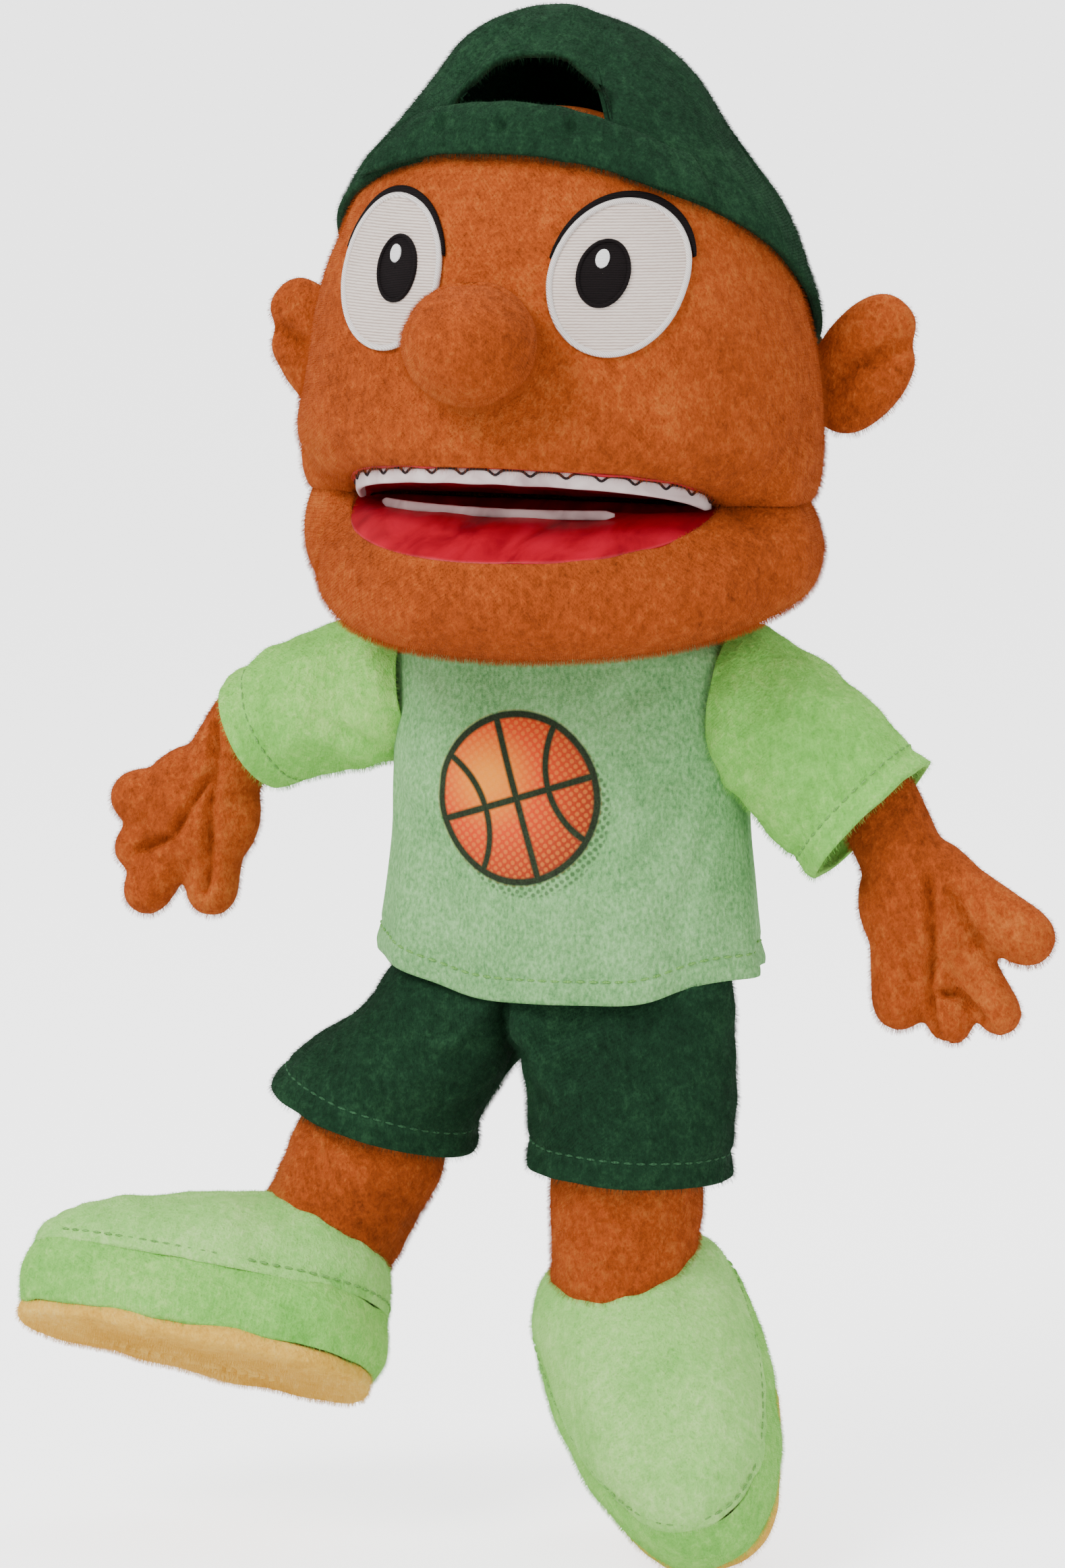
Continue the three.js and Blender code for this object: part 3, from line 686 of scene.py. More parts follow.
def head_lower():
    """The jaw's skin, drawn in to the neck. It is narrower on the right, to suit the photo's outline."""
    phi, t = grid(264, 64, (-math.pi, math.pi), wrap=True)
    c = (1 + np.cos(phi)) / 2
    sin, cos = np.sin(phi), np.cos(phi)
    edge = lip_edge(phi, lower=True)
    tuck = edge_pinch(phi)
    wide = np.where(sin < 0, 77, 88) + 0.35 * tuck
    p1 = np.stack([wide * sin, -19 - (65 + 0.2 * tuck) * cos, 117 - 23 * c], -1)
    p2 = np.stack([49 * sin, -9 - 45 * cos, 108 - 20.5 * c], -1)
    end = np.stack([32.5 * sin, -24.5 * cos, 107.5 + 0 * c], -1)
    s = (t ** 1.1)[..., None]
    obj = skin("jaw_plush", bezier(edge, p1, p2, end, s), wrap=True)
    q = points_of(obj)
    dent = uneven(q, (38, 8, 0.8), (15, 9, 0.25))
    for side in (-1, 1):
        dent += crease(q, (side * 56, -40, 131), (side * 66, -30, 112), 8, 1.4)
        corner = np.linalg.norm(q - [side * 60, -32, 126], axis=1)
        dent += 4.0 * bell(corner, 0, 11)
    push(obj, lambda _: dent * ease(q[:, 2], 104, 112))
    return obj


head = thicken(head_upper(), THICK["plush"])
jaw = thicken(head_lower(), THICK["plush"])


class Surface:
    """Looks up points on a finished mesh, in millimetres."""

    def __init__(self, obj):
        p = points_of(obj)
        self.tree = BVHTree.FromPolygons(p.tolist(), [tuple(f.vertices) for f in obj.data.polygons])

    def hit(self, start, direction):
        place, normal, _, _ = self.tree.ray_cast(Vector(start), Vector(direction))
        if place is None:
            raise ValueError(f"no surface from {start} along {direction}")
        if normal.dot(Vector(direction)) > 0:
            normal = -normal
        return np.array(place), np.array(normal)

    def front(self, x, z, lift=0.0):
        place, normal = self.hit((x, -300, z), (0, 1, 0))
        return place + normal * lift


face = Surface(head)


# ---- mouth ------------------------------------------------------------------------------
FOLD = dict(x=51.0, y=-9.0, corner_y=-25.0, z=135.0)


def mouth_surface(s, t, lower):
    """The lining from the lip (t = 0) to the fold at the hinge (t = 1); s runs corner to corner."""
    edge = lip_edge(s * math.radians(LIP["corner"]), lower)
    x = FOLD["x"] * np.sin(s * math.pi / 2)
    y = FOLD["y"] + (FOLD["corner_y"] - FOLD["y"]) * (1 - np.sqrt(np.clip(1 - s * s, 0, 1)))
    z = np.full_like(s, FOLD["z"] + (-0.4 if lower else 0.4))
    share = np.clip(1 - s * s, 0, 1)
    rise = 1 - (1 - t) ** (1.9 if lower else 1.45)
    p = np.stack([edge[..., 0] + (x - edge[..., 0]) * t,
                  edge[..., 1] + (y - edge[..., 1]) * t,
                  edge[..., 2] + (z - edge[..., 2]) * rise], -1)
    if lower:
        p[..., 2] += share * (1.5 * np.sin(np.pi * t) - 3.5 * bell(t, 0.8, 0.13))
    else:
        p[..., 2] += share * (1.0 * np.sin(np.pi * t) - 1.6 * bell(t, 0.2, 0.12))
    return p


def mouth_lining(name, lower):
    s, t = grid(110, 40, (-1, 1))
    obj = skin(name, mouth_surface(s, t, lower))
    p = points_of(obj)
    away = ease(-p[:, 1], 8, 18)
    push(obj, lambda q: uneven(q, (16, 21 + lower, 0.45), (6, 25 + lower, 0.12)) * away)
    return dress(thicken(obj, THICK["satin"], inward=False), "red")


def padded_strip(name, path, out, tall, thick, material, waves=0.0):
    """A soft folded strip: path is its middle, out its outward direction."""
    n = len(path)
    s = np.linspace(-1, 1, n)
    end = np.clip((1 - np.abs(s)) * 14, 0.12, 1) ** 0.5
    pucker = 1 + waves * np.sin(np.linspace(0, 2 * math.pi * 11, n)) * (0.5 + 0.5 * np.cos(s * 5))
    turn = circle(20)
    c, w = np.cos(turn), np.sin(turn)
    c, w = power(c, 0.75), power(w, 0.75)
    ring = (out[:, None] * (c * thick / 2)[None, :, None] * (end * pucker)[:, None, None]
            + Z_AXIS * (w * tall / 2)[None, :, None] * (end * pucker ** 0.5)[:, None, None])
    points = path[:, None] + ring
    vertices = points.reshape(-1, 3)
    k = len(turn)
    faces = [(i * k + j, i * k + (j + 1) % k, (i + 1) * k + (j + 1) % k, (i + 1) * k + j)
             for i in range(n - 1) for j in range(k)]
    faces += [tuple(range(k - 1, -1, -1)), tuple(range((n - 1) * k, n * k))]
    return dress(clean(new_mesh(name, vertices, faces)), material)


def plan_normal(path):
    """Which way is outward along path, seen from above."""
    tangent = np.gradient(path, axis=0)
    out = np.stack([tangent[:, 1], -tangent[:, 0], 0 * tangent[:, 0]], 1)
    return out / np.linalg.norm(out, axis=1)[:, None]


TEETH = dict(tall=4.6, thick=1.7, pitch=9.4)


def teeth():
    s = np.linspace(-0.97, 0.97, 300)
    edge = lip_edge(s * math.radians(LIP["corner"]))
    out = plan_normal(edge)
    path = edge - out * 1.9 - [0, 0, 2.3]
    path[:, 2] += 1.3 * np.abs(s) ** 8
    upper = padded_strip("teeth_strip_upper", path, out, TEETH["tall"], TEETH["thick"], "pale", 0.10)
    along = np.r_[0, np.cumsum(np.linalg.norm(np.diff(path, axis=0), axis=1))]
    notch = np.exp(-((along / TEETH["pitch"] - np.round(along / TEETH["pitch"])) * 6.5) ** 2)
    scallop = path + out * (TEETH["thick"] / 2 + 0.15) + Z_AXIS * (1.9 - 1.5 * notch)[:, None]
    line = dress(rope("teeth_scallop_stitch", resample(scallop, 0.55), 0.36, 6), "ink")
    s = np.linspace(-0.62, 0.34, 90)
    base = mouth_surface(s, np.full_like(s, 0.46), True)
    low = padded_strip("teeth_strip_lower", base + [0, 0, 1.2], plan_normal(base), 2.6, 1.1, "pale", 0.08)
    return upper, line, low


upper_lining = mouth_lining("mouth_lining_upper", False)
lower_lining = mouth_lining("mouth_lining_lower", True)
teeth_upper, teeth_line, teeth_lower = teeth()


# ---- eyes, nose and ears ----------------------------------------------------------------
EYE = dict(x=32.0, z=199.0, half_w=16.5, half_h=20.0)


def face_disc(name, cx, cz, half_w, half_h, lift, material, dome=0.5, wall=1.6):
    """A closed pad on the face, with an oval outline, doming by dome."""
    rings = [(r, lift + dome * (1 - r * r)) for r in np.linspace(0.02, 1, 16)]
    rings += [(1.02, lift - 0.5 * wall), (1.0, lift - wall), (0.5, lift - wall), (0.02, lift - wall)]
    turn = circle(72)
    points = np.array([[face.front(cx + half_w * r * math.cos(a), cz + half_h * r * math.sin(a), h)
                        for r, h in rings] for a in turn])
    return dress(skin(name, points, wrap=True), material)


def face_ring(name, cx, cz, half_w, half_h, lift, radius, material):
    turn = circle(120)
    path = [face.front(cx + half_w * math.cos(a), cz + half_h * math.sin(a), lift) for a in turn]
    return dress(rope(name, path, radius, 8, closed=True), material)


def eyelid(name, cx, cz):
    """A band of black thread over the eye, tapering at both ends."""
    points = []
    for a in np.radians(np.linspace(14, 166, 70)):
        half = 0.058 * (math.sin((a - math.radians(10)) / math.radians(160) * math.pi)) ** 0.5
        ring = []
        for w in circle(10):
            r = 1.065 + half * math.cos(w)
            x, z = cx + EYE["half_w"] * r * math.cos(a), cz + EYE["half_h"] * r * math.sin(a)
            ring.append(face.front(x, z, 0.7 + 0.75 * math.sin(w)))
        points.append(ring)
    points = np.array(points).transpose(1, 0, 2)
    obj = skin(name, points, wrap=True)
    fill_ends(obj)
    return dress(obj, "black")


def eye(side):
    sign = SIDES[side]["x"]
    x, z = sign * EYE["x"], EYE["z"]
    white = face_disc(f"eye_white_thread_{side}", x, z, EYE["half_w"], EYE["half_h"], 0.9, "eye", 0.35)
    rim = face_ring(f"eye_border_{side}", x, z, EYE["half_w"] - 0.2, EYE["half_h"] - 0.2, 1.0, 0.85, "rim")
    px = x * 0.9
    pupil = face_disc(f"eye_pupil_thread_{side}", px, z + 1, 6.4, 8.6, 1.45, "black", 0.35, 0.9)
    edge = face_ring(f"eye_pupil_edge_{side}", px, z + 1, 6.1, 8.3, 1.5, 0.6, "black")
    spark = face_disc(f"eye_highlight_{side}", px - 0.6, z + 4.6, 1.7, 2.3, 2.1, "spark", 0.25, 0.7)
    lid = eyelid(f"eyelid_{side}", x, z)
    return [white, rim, pupil, edge, spark, lid]


NOSE = dict(x=0.0, y=-80.0, z=183.0, r=17.8)


def nose():
    turn, lat = grid(96, 60, (-math.pi, math.pi), (-math.pi / 2, math.pi / 2), wrap=True)
    r = NOSE["r"]
    p = np.stack([r * 1.02 * np.cos(lat) * np.sin(turn), -r * np.cos(lat) * np.cos(turn),
                  r * 0.92 * np.sin(lat)], -1)
    p[..., 2] -= 1.2 * (p[..., 1] < 0) * (1 - (p[..., 0] / r) ** 2) * 0.6
    p += [NOSE["x"], NOSE["y"], NOSE["z"]]
    obj = skin("nose_plush", p, wrap=True)
    push(obj, lambda q: uneven(q, (17, 31, 0.45), (8, 32, 0.15)))
    return dress(obj, "skin")


EAR = dict(x=80.0, y=12.0, z=172.0)


def ear(side):
    """A flat stuffed ear in two lobes, with the fold between them running out and up."""
    sign = SIDES[side]["x"]
    turn, lat = grid(80, 48, (-math.pi, math.pi), (-math.pi / 2, math.pi / 2), wrap=True)
    c, s = np.cos(turn), np.sin(turn)
    reach = 1 + 0.10 * np.cos(2 * (turn - math.radians(50))) - 0.11 * bell(turn, 0.32, 0.22)
    r = np.cos(lat) ** 0.85 * reach
    x = 14.5 * c * r + 2.5 * s * r
    z = 18.5 * s * r
    y = 6.4 * np.sin(lat) * (1 - 0.25 * (c < 0) * -c)
    fold = bell(z, 0.42 * x, 3.0) * ease(x, -13, 3)
    y = np.where(y < 0, y + 3.6 * fold * np.clip(-y / 6.4, 0, 1), y)
    p = np.stack([sign * (EAR["x"] + x), EAR["y"] + y + 0.10 * x, EAR["z"] + z], -1)
    obj = skin(f"ear_plush_{side}", p, wrap=True)
    push(obj, lambda q: lumps(q, 14, 33) * 0.35)
    return dress(obj, "skin")


eyes = [piece for side in SIDES for piece in eye(side)]
nose_ball = nose()
ears = [ear(side) for side in SIDES]


# ---- cap --------------------------------------------------------------------------------
CAP = dict(grow=3.6, cloth=2.4, arch_half=21.5, arch_z=242.5, arch_high=15.5)


def cap_form(phi, z, grow=0.0):
    """The crown over the head: fuller than the head at the edge, drawn in towards the peak."""
    p = head_form(phi, z, CAP["grow"] + grow)
    top = ease(z, 215, 270)
    p[..., 0] *= 1 - 0.07 * np.sin(np.pi * top)
    return p


def cap_edge(phi):
    """The height of the cap's edge at each turn phi, found by halving."""
    low, high = np.full_like(phi, 150.0), np.full_like(phi, 262.0)
    for _ in range(40):
        mid = (low + high) / 2
        p = head_form(phi, mid, CAP["grow"])
        above = mid > cap_level(p[..., 0], p[..., 1])
        high, low = np.where(above, mid, high), np.where(above, low, mid)
    return (low + high) / 2


def crown():
    """The cap without its strap and brim, with the arch above the strap left open."""
    n = 300
    phi = np.linspace(-math.pi, math.pi, n, endpoint=False)
    edge = cap_edge(phi)
    base = edge.copy()
    for k in range(n):
        if abs(phi[k]) > 1.2:
            continue
        z = np.linspace(edge[k], CAP["arch_z"] + CAP["arch_high"], 60)
        x = cap_form(np.full(60, phi[k]), z)[:, 0]
        inside = np.abs(x) < CAP["arch_half"]
        arch = CAP["arch_z"] + CAP["arch_high"] * np.sqrt(np.clip(1 - (x / CAP["arch_half"]) ** 2, 0, 1))
        below = inside & (z < arch)
        if below.any():
            base[k] = z[np.nonzero(below)[0].max()]
    top = HEAD_Z + HEAD_UP + CAP["grow"]
    t = np.linspace(0, 1, 76)
    lam0 = np.arcsin(np.clip((base - HEAD_Z) / (top - HEAD_Z), -1, 1))
    lam = lam0[:, None] + (math.pi / 2 - lam0)[:, None] * t[None]
    z = HEAD_Z + (top - HEAD_Z) * np.sin(lam)
    p = cap_form(np.repeat(phi[:, None], len(t), 1), np.clip(z, None, top))
    obj = skin("cap_crown_plush", p, wrap=True)
    q = points_of(obj)
    dent = uneven(q, (40, 41, 1.1), (15, 42, 0.5))
    dent += crease(q, (-24, -44, 248), (6, -22, 266), 6, 1.6)
    dent += crease(q, (-30, -38, 246), (-8, -12, 266), 7, 1.3)
    dent += crease(q, (27, -44, 243), (10, -14, 267), 6, 1.8)
    dent += crease(q, (24, -40, 252), (0, -16, 269), 5, 1.0)
    for a in (58, 180, -58):
        x, y = math.sin(math.radians(a)), -math.cos(math.radians(a))
        dent += crease(q, (70 * x, -9 + 60 * y, 200), (4 * x, -6 + 4 * y, 269), 2.6, 1.0)
    dent *= ease(np.hypot(q[:, 0], q[:, 1] - HEAD_Y), 1, 12)
    rim = np.interp(np.arctan2(q[:, 0], -(q[:, 1] - HEAD_Y)), phi, base)
    push(obj, lambda _: dent * ease(q[:, 2] - rim, -2, 9))
    return dress(thicken(obj, CAP["cloth"]), "dark")


def strap():
    """The band across the front of the turned cap, with three dents where it would fasten."""
    v, w = grid(150, 26, (-1, 1), (0, 2 * math.pi))
    phi_end = 1.02
    phi = v * phi_end
    edge = cap_edge(phi)
    low, high = edge - 1.0, np.minimum(edge + 12.5, CAP["arch_z"] + 2.0 - 4 * np.abs(v) ** 4)
    mid, half = (low + high) / 2, (high - low) / 2
    z = mid + half * power(np.sin(w), 0.8)
    thick = 1.9 * power(np.cos(w), 0.7) * (1 - 0.75 * np.abs(v) ** 10)
    p = cap_form(phi, z)
    out = np.stack([np.sin(phi), -np.cos(phi), 0.45 + 0 * phi], -1)
    p = p + out * (thick + 1.0)[..., None]
    obj = skin("cap_strap_plush", p[:, :-1].transpose(1, 0, 2), wrap=True)
    fill_ends(obj)
    q = points_of(obj)
    dent = uneven(q, (22, 45, 0.5), (9, 46, 0.2))
    for x in (-22, -3, 16):
        r = np.linalg.norm(q[:, [0, 2]] - [x, 238.5], axis=1)
        dent -= 2.2 * bell(r, 0, 1.7) * (q[:, 1] < -30)
    push(obj, lambda _: dent)
    return dress(obj, "dark")


def brim():
    """The visor, at the back because the cap is worn backwards."""
    u, w = grid(90, 60, (-1, 1), (0, 2 * math.pi))
    turn = math.pi - u * math.radians(56)
    edge = cap_edge(turn)
    root = head_form(turn, edge + 3, CAP["grow"])
    reach = 36 * np.clip(np.cos(u * math.pi / 2 * 0.97), 0, 1) ** 0.55
    v = (1 - np.cos(w)) / 2
    side = power(np.sin(w), 0.45)
    out = np.stack([0.12 * root[..., 0] / 40, np.ones_like(v), -0.38 - 0.16 * v], -1)
    p = root + out * (reach * v)[..., None] - out * 2.0
    p[..., 2] += side * 1.9 - 2.2 * np.sin(np.pi * v) * (u ** 2) + 1
    obj = skin("cap_brim_plush", p[:, :-1].transpose(1, 0, 2), wrap=True)
    fill_ends(obj)
    push(obj, lambda q: lumps(q, 24, 47) * 0.4)
    return dress(obj, "dark")


cap = [crown(), strap(), brim()]
dress(head, "skin")
dress(jaw, "skin")
for piece in [head, upper_lining, teeth_upper, teeth_line, nose_ball, *eyes, *ears, *cap]:
    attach(piece, "head")
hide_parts("head_front", "head_back")
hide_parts("upper_mouth_lining")
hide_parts("upper_teeth")
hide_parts("nose")
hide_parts("cap_crown")
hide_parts("cap_strap")
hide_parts("cap_brim")
for side in SIDES:
    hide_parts(f"eye_white_{side}")
    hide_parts(f"eye_pupil_{side}")
    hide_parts(f"eye_lid_{side}")
    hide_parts(f"ear_{side}")
for piece in (jaw, lower_lining, teeth_lower):
    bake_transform(piece)
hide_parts("jaw_shell")
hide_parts("lower_mouth_lining")
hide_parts("lower_teeth")


# ---- shirt ------------------------------------------------------------------------------
SHIRT = dict(  # height, half width, half depth
    z=[-4, 15, 35, 60, 78, 88, 94, 98, 101.5], w=[55, 53, 51.5, 50.5, 51, 51, 49, 43.5, 34.5],
    d=[33.5, 33, 32, 30.5, 28, 26.5, 26, 25.5, 25.5])


def curve_through(x, xs, ys):
    """A smooth curve through the given points (Catmull-Rom)."""
    xs, ys = np.array(xs, float), np.array(ys, float)
    slope = np.gradient(ys, xs)
    i = np.clip(np.searchsorted(xs, x) - 1, 0, len(xs) - 2)
    h = xs[i + 1] - xs[i]
    t = np.clip((x - xs[i]) / h, 0, 1)
    return ((2 * t ** 3 - 3 * t ** 2 + 1) * ys[i] + (t ** 3 - 2 * t ** 2 + t) * h * slope[i]
            + (3 * t ** 2 - 2 * t ** 3) * ys[i + 1] + (t ** 3 - t ** 2) * h * slope[i + 1])


def shirt_form(phi, z):
    """The shirt at the turn phi and the height z, waving more towards the hem."""
    w, d = curve_through(z, SHIRT["z"], SHIRT["w"]), curve_through(z, SHIRT["z"], SHIRT["d"])
    s, c = np.sin(phi), np.cos(phi)
    k = (np.abs(s) ** 2.35 + np.abs(c) ** 2.35) ** (-1 / 2.35)
    low = np.clip(1 - z / 70, 0, 1)
    wave = low ** 1.3 * (1.7 * np.sin(5 * phi + 0.6) + 0.9 * np.sin(9 * phi + 2.1) + 0.6 * np.sin(14 * phi))
    return np.stack([(w + wave) * k * s, -(d + wave) * k * c, z], -1)


def shirt_hem(phi):
    rise = np.where(np.sin(phi) < 0, 11.5, 7.5)
    return -2.6 + rise * np.sin(phi) ** 2 + 0.7 * np.sin(7 * phi + 1)


FOLDS = [((50, -17, 66), (18, -34, 52), 4.5, 1.5), ((50, -18, 62), (26, -33, 30), 5, 1.6),
         ((51, -14, 58), (40, -26, 18), 4.5, 1.7), ((-50, -17, 64), (-24, -33, 54), 4.5, 1.3),
         ((-51, -14, 60), (-34, -28, 34), 5, 1.2), ((30, -31, 40), (46, -24, 10), 5, 1.2),
         ((8, -35, 26), (34, -30, 12), 4, 1.1), ((-38, -27, 30), (-14, -35, 12), 5, 0.9),
         ((40, -24, 90), (16, -30, 78), 5, 1.0), ((-38, -24, 90), (-20, -30, 76), 5, 0.9),
         ((50, 17, 64), (22, 32, 44), 5, 1.4), ((-50, 17, 64), (-20, 32, 40), 5, 1.4),
         ((-10, 33, 60), (16, 33, 30), 6, 0.9)]


def shirt_panel(name, first, last, material):
    u, v = grid(150, 130, (math.radians(first), math.radians(last)))
    hem = shirt_hem(u)
    z = hem + (101.5 - hem) * v
    p = shirt_form(u, z)
    obj = skin(name, p)
    q = points_of(obj)
    turn = np.degrees(np.arctan2(np.abs(q[:, 0]), np.abs(q[:, 1])))
    dent = uneven(q, (42, 51, 0.7), (16, 52, 0.2)) - 1.5 * ease(turn, 86.0, 89.5)
    above_hem = q[:, 2] - shirt_hem(np.arctan2(q[:, 0], -q[:, 1]))
    dent += 0.55 * bell(above_hem, 1.5, 2.2) - 0.35 * bell(above_hem, 6.5, 1.2)
    for fold in FOLDS:
        dent += crease(q, *fold)
    push(obj, lambda _: dent)
    return dress(thicken(obj, THICK["knit"]), material)


def on_surface(surface, points, centre, lift):
    """Moves rough points onto a finished surface, along lines from centre axis outward."""
    out = []
    for p in points:
        away = unit(np.array([p[0] - centre[0], p[1] - centre[1], 0]))
        place, normal = surface.hit(tuple(p + away * 60), tuple(-away))
        out.append(place + normal * lift)
    return np.array(out)


def shirt_stitches(name, obj, first, last):
    phi = np.radians(np.linspace(first, last, 110))
    rough = shirt_form(phi, shirt_hem(phi) + 6.5)
    return dress(stitches(name, on_surface(Surface(obj), rough, (0, 0), 0.12)), "thread_green")


shirt_front = shirt_panel("shirt_front_knit", -89.6, 89.6, "print")
shirt_back = shirt_panel("shirt_back_knit", 90.4, 269.6, "knit")
hem_front = shirt_stitches("shirt_hem_stitch_front", shirt_front, -86, 86)
hem_back = shirt_stitches("shirt_hem_stitch_back", shirt_back, 94, 266)


def tube(name, rings, material, thick=0.0, closed_ends=False):
    """rings[i, j]: ring i along the tube, point j round it."""
    obj = skin(name, np.asarray(rings).transpose(1, 0, 2), wrap=True)
    if closed_ends:
        fill_ends(obj)
    if thick:
        thicken(obj, thick)
    return dress(obj, material)


def oval_tube(name, z, w, d, material, thick, around=120, puff=0.0, seed=0):
    turn = circle(around)
    rings = [np.stack([a * np.sin(turn), -b * np.cos(turn), np.full(around, h)], -1)
             for h, a, b in zip(z, w, d)]
    obj = tube(name, rings, material)
    if puff:
        push(obj, lambda q: lumps(q, 20, seed) * puff)
    thicken(obj, thick)
    return obj


steps = np.linspace(0, 1, 12)
collar = oval_tube("neckline_band", 98.6 + 3.6 * steps, 34.6 + 1.2 * np.sin(np.pi * steps),
                   25.9 + 1.2 * np.sin(np.pi * steps), "knit", THICK["band"])
neck = oval_tube("neck_plush", 100.6 + 8.4 * steps, 32.4 + 0.5 * np.sin(np.pi * steps),
                 24.4 + 0.5 * np.sin(np.pi * steps), "skin", THICK["neck"], puff=0.25, seed=61)
inner = np.linspace(0, 1, 50)
lining_z = 14 + 79 * inner
lining = oval_tube("body_lining_cloth", lining_z, np.interp(lining_z, [14, 60, 93], [46, 44, 33]),
                   np.interp(lining_z, [14, 60, 93], [27, 25, 21.5]), "lining", THICK["lining"],
                   puff=0.8, seed=62)
for piece in (shirt_front, shirt_back, hem_front, hem_back, collar, lining):
    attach(piece, "torso")
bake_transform(neck)
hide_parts("shirt_front")
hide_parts("shirt_back")
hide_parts("collar")
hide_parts("body_lining")
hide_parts("neck_sleeve")


# ---- sleeves, arms and hands ------------------------------------------------------------
SLEEVE = {
    "right": dict(root=(-45, 0, 80), root_r=(21, 21), cuff=(-94, 0, 65), cuff_r=(17.5, 21), tilt=24),
    "left": dict(root=(46, 0, 81), root_r=(22, 21), cuff=(87, 0, 48), cuff_r=(21.5, 20), tilt=42),
}


def hem_form(to_hem):
    """A fuller edge and a groove along the stitches."""
    return 0.7 * bell(to_hem, 1, 2.5) - 0.6 * bell(to_hem, HEM, 1.3)


def hem_stitches(name, obj, centre, across, far, count, material):
    """Topstitching round a hem. It lies where rays from outside, aimed at centre, meet obj."""
    surface, path = Surface(obj), []
    for b in circle(count):
        away = math.cos(b) * across + math.sin(b) * Y_AXIS
        place, normal = surface.hit(tuple(centre + away * far(b)), tuple(-away))
        path.append(place + normal * 0.1)
    return dress(stitches(name, path, closed=True), material)


def sleeve(side):
    s, sign = SLEEVE[side], SIDES[side]["x"]
    root, cuff = np.array(s["root"], float), np.array(s["cuff"], float)
    bend = (root + cuff) / 2 + [0, 0, 5]
    n, around = 64, 110
    turn = circle(around)
    rings = []
    for t in np.linspace(0, 1, n):
        centre = root * (1 - t) ** 2 + 2 * bend * t * (1 - t) + cuff * t ** 2
        a = math.radians(6 + (s["tilt"] - 6) * t)
        up = np.array([sign * math.sin(a), 0, math.cos(a)])
        tall = s["root_r"][0] + (s["cuff_r"][0] - s["root_r"][0]) * t + 1.2 * math.sin(math.pi * t)
        deep = s["root_r"][1] + (s["cuff_r"][1] - s["root_r"][1]) * t
        tall -= 2.6 * math.exp(-(t / 0.07) ** 2)
        deep -= 2.6 * math.exp(-(t / 0.07) ** 2)
        rings.append(centre + np.cos(turn)[:, None] * up * tall
                     + np.sin(turn)[:, None] * Y_AXIS * deep)
    rings = np.array(rings)
    obj = skin(f"sleeve_plush_{side}", rings.transpose(1, 0, 2), wrap=True)
    q = points_of(obj)
    dent = uneven(q, (24, 71, 1.1), (10, 72, 0.4))
    pit = root + [sign * 2, 0, -20]
    folds = [(-14, 0.62, 2.4), (-19, 0.45, 1.8), (-8, 0.8, 1.5), (12, 0.6, 2.0)]
    for k, (dy, far, depth) in enumerate(folds):
        target = root + (cuff - root) * far + [0, dy * 1.25, 2 - 5 * k]
        dent += crease(q, pit + [0, dy * 0.6, 2], target, 3.6, depth)
    axis = unit(cuff - bend)
    to_hem = (cuff - q) @ axis
    dent += hem_form(to_hem)
    push(obj, lambda _: dent)
    thicken(obj, THICK["sleeve"])
    up = np.array([sign * math.sin(math.radians(s["tilt"])), 0, math.cos(math.radians(s["tilt"]))])
    hem = hem_stitches(f"sleeve_hem_stitch_{side}", obj, cuff - axis * HEM, up,
                       lambda b: 60, 90, "thread_green")
    dress(obj, "light")
    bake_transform(obj)
    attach(hem, f"sleeve_{side}")
    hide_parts(f"sleeve_{side}")
    return obj


# The sewn lines on the front of each hand, as (x, z).
HAND_LINES = {
    "right": (((-104, 68), (-103, 56), (-105, 42), (-106, 26), (-108, 18)),
              ((-104, 54), (-112, 42), (-117, 34), (-129, 29))),
    "left": (((106, 35), (107, 22), (107, 13), (105, 4), (106, -5), (109, -12)),
             ((112, 31), (120, 17), (126, 6), (138, 1)),
             ((108, 3), (114, 2), (120, -4), (128, -15))),
}


def hand(side):
    obj = copy_nodes(f"hand_plush_{side}", [f"hand_{side}"], 1.3, 9, 0.6)
    q = points_of(obj)
    dent = uneven(q, (18, 75, 0.6), (8, 76, 0.3)) + 0.5
    surface = Surface(obj)
    for line in HAND_LINES[side]:
        path = []
        for x, z in line:
            place = surface.tree.ray_cast(Vector((x, -300, z)), Vector((0, 1, 0)))[0]
            if place is not None:
                path.append(place)
        for a, b in zip(path, path[1:]):
            dent = np.minimum(dent, dent * 0.4 + crease(q, a, b, 2.3, 4.0))
    push(obj, lambda _: dent)
    dress(obj, "skin")
    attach(obj, f"hand_{side}")
    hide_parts(f"hand_{side}")
    arm = copy_nodes(f"arm_plush_{side}", [f"upper_arm_{side}"], 1.5, 8)
    push(arm, lambda p: lumps(p, 16, 77) * 0.4)
    dress(arm, "skin")
    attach(arm, f"sleeve_{side}")
    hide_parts(f"upper_arm_{side}")
    return obj, arm


sleeves = {side: sleeve(side) for side in SIDES}
hands, arms = {}, {}
for side in SIDES:
    hands[side], arms[side] = hand(side)


# ---- shorts, legs and shoes -------------------------------------------------------------
CROTCH_X = -10.0
WAIST_HALF = 47.0
SHORTS = {
    "right": dict(hip=(-41, -9, -20), down_deg=27.0, hem=(-56, -8.5, -42), tilt=17.0, hem_r=(29, 26.5)),
    "left": dict(hip=(21, -9, -16), down_deg=-2.0, hem=(20.5, -9, -51.5), tilt=-3.0, hem_r=(28, 26.5)),
}


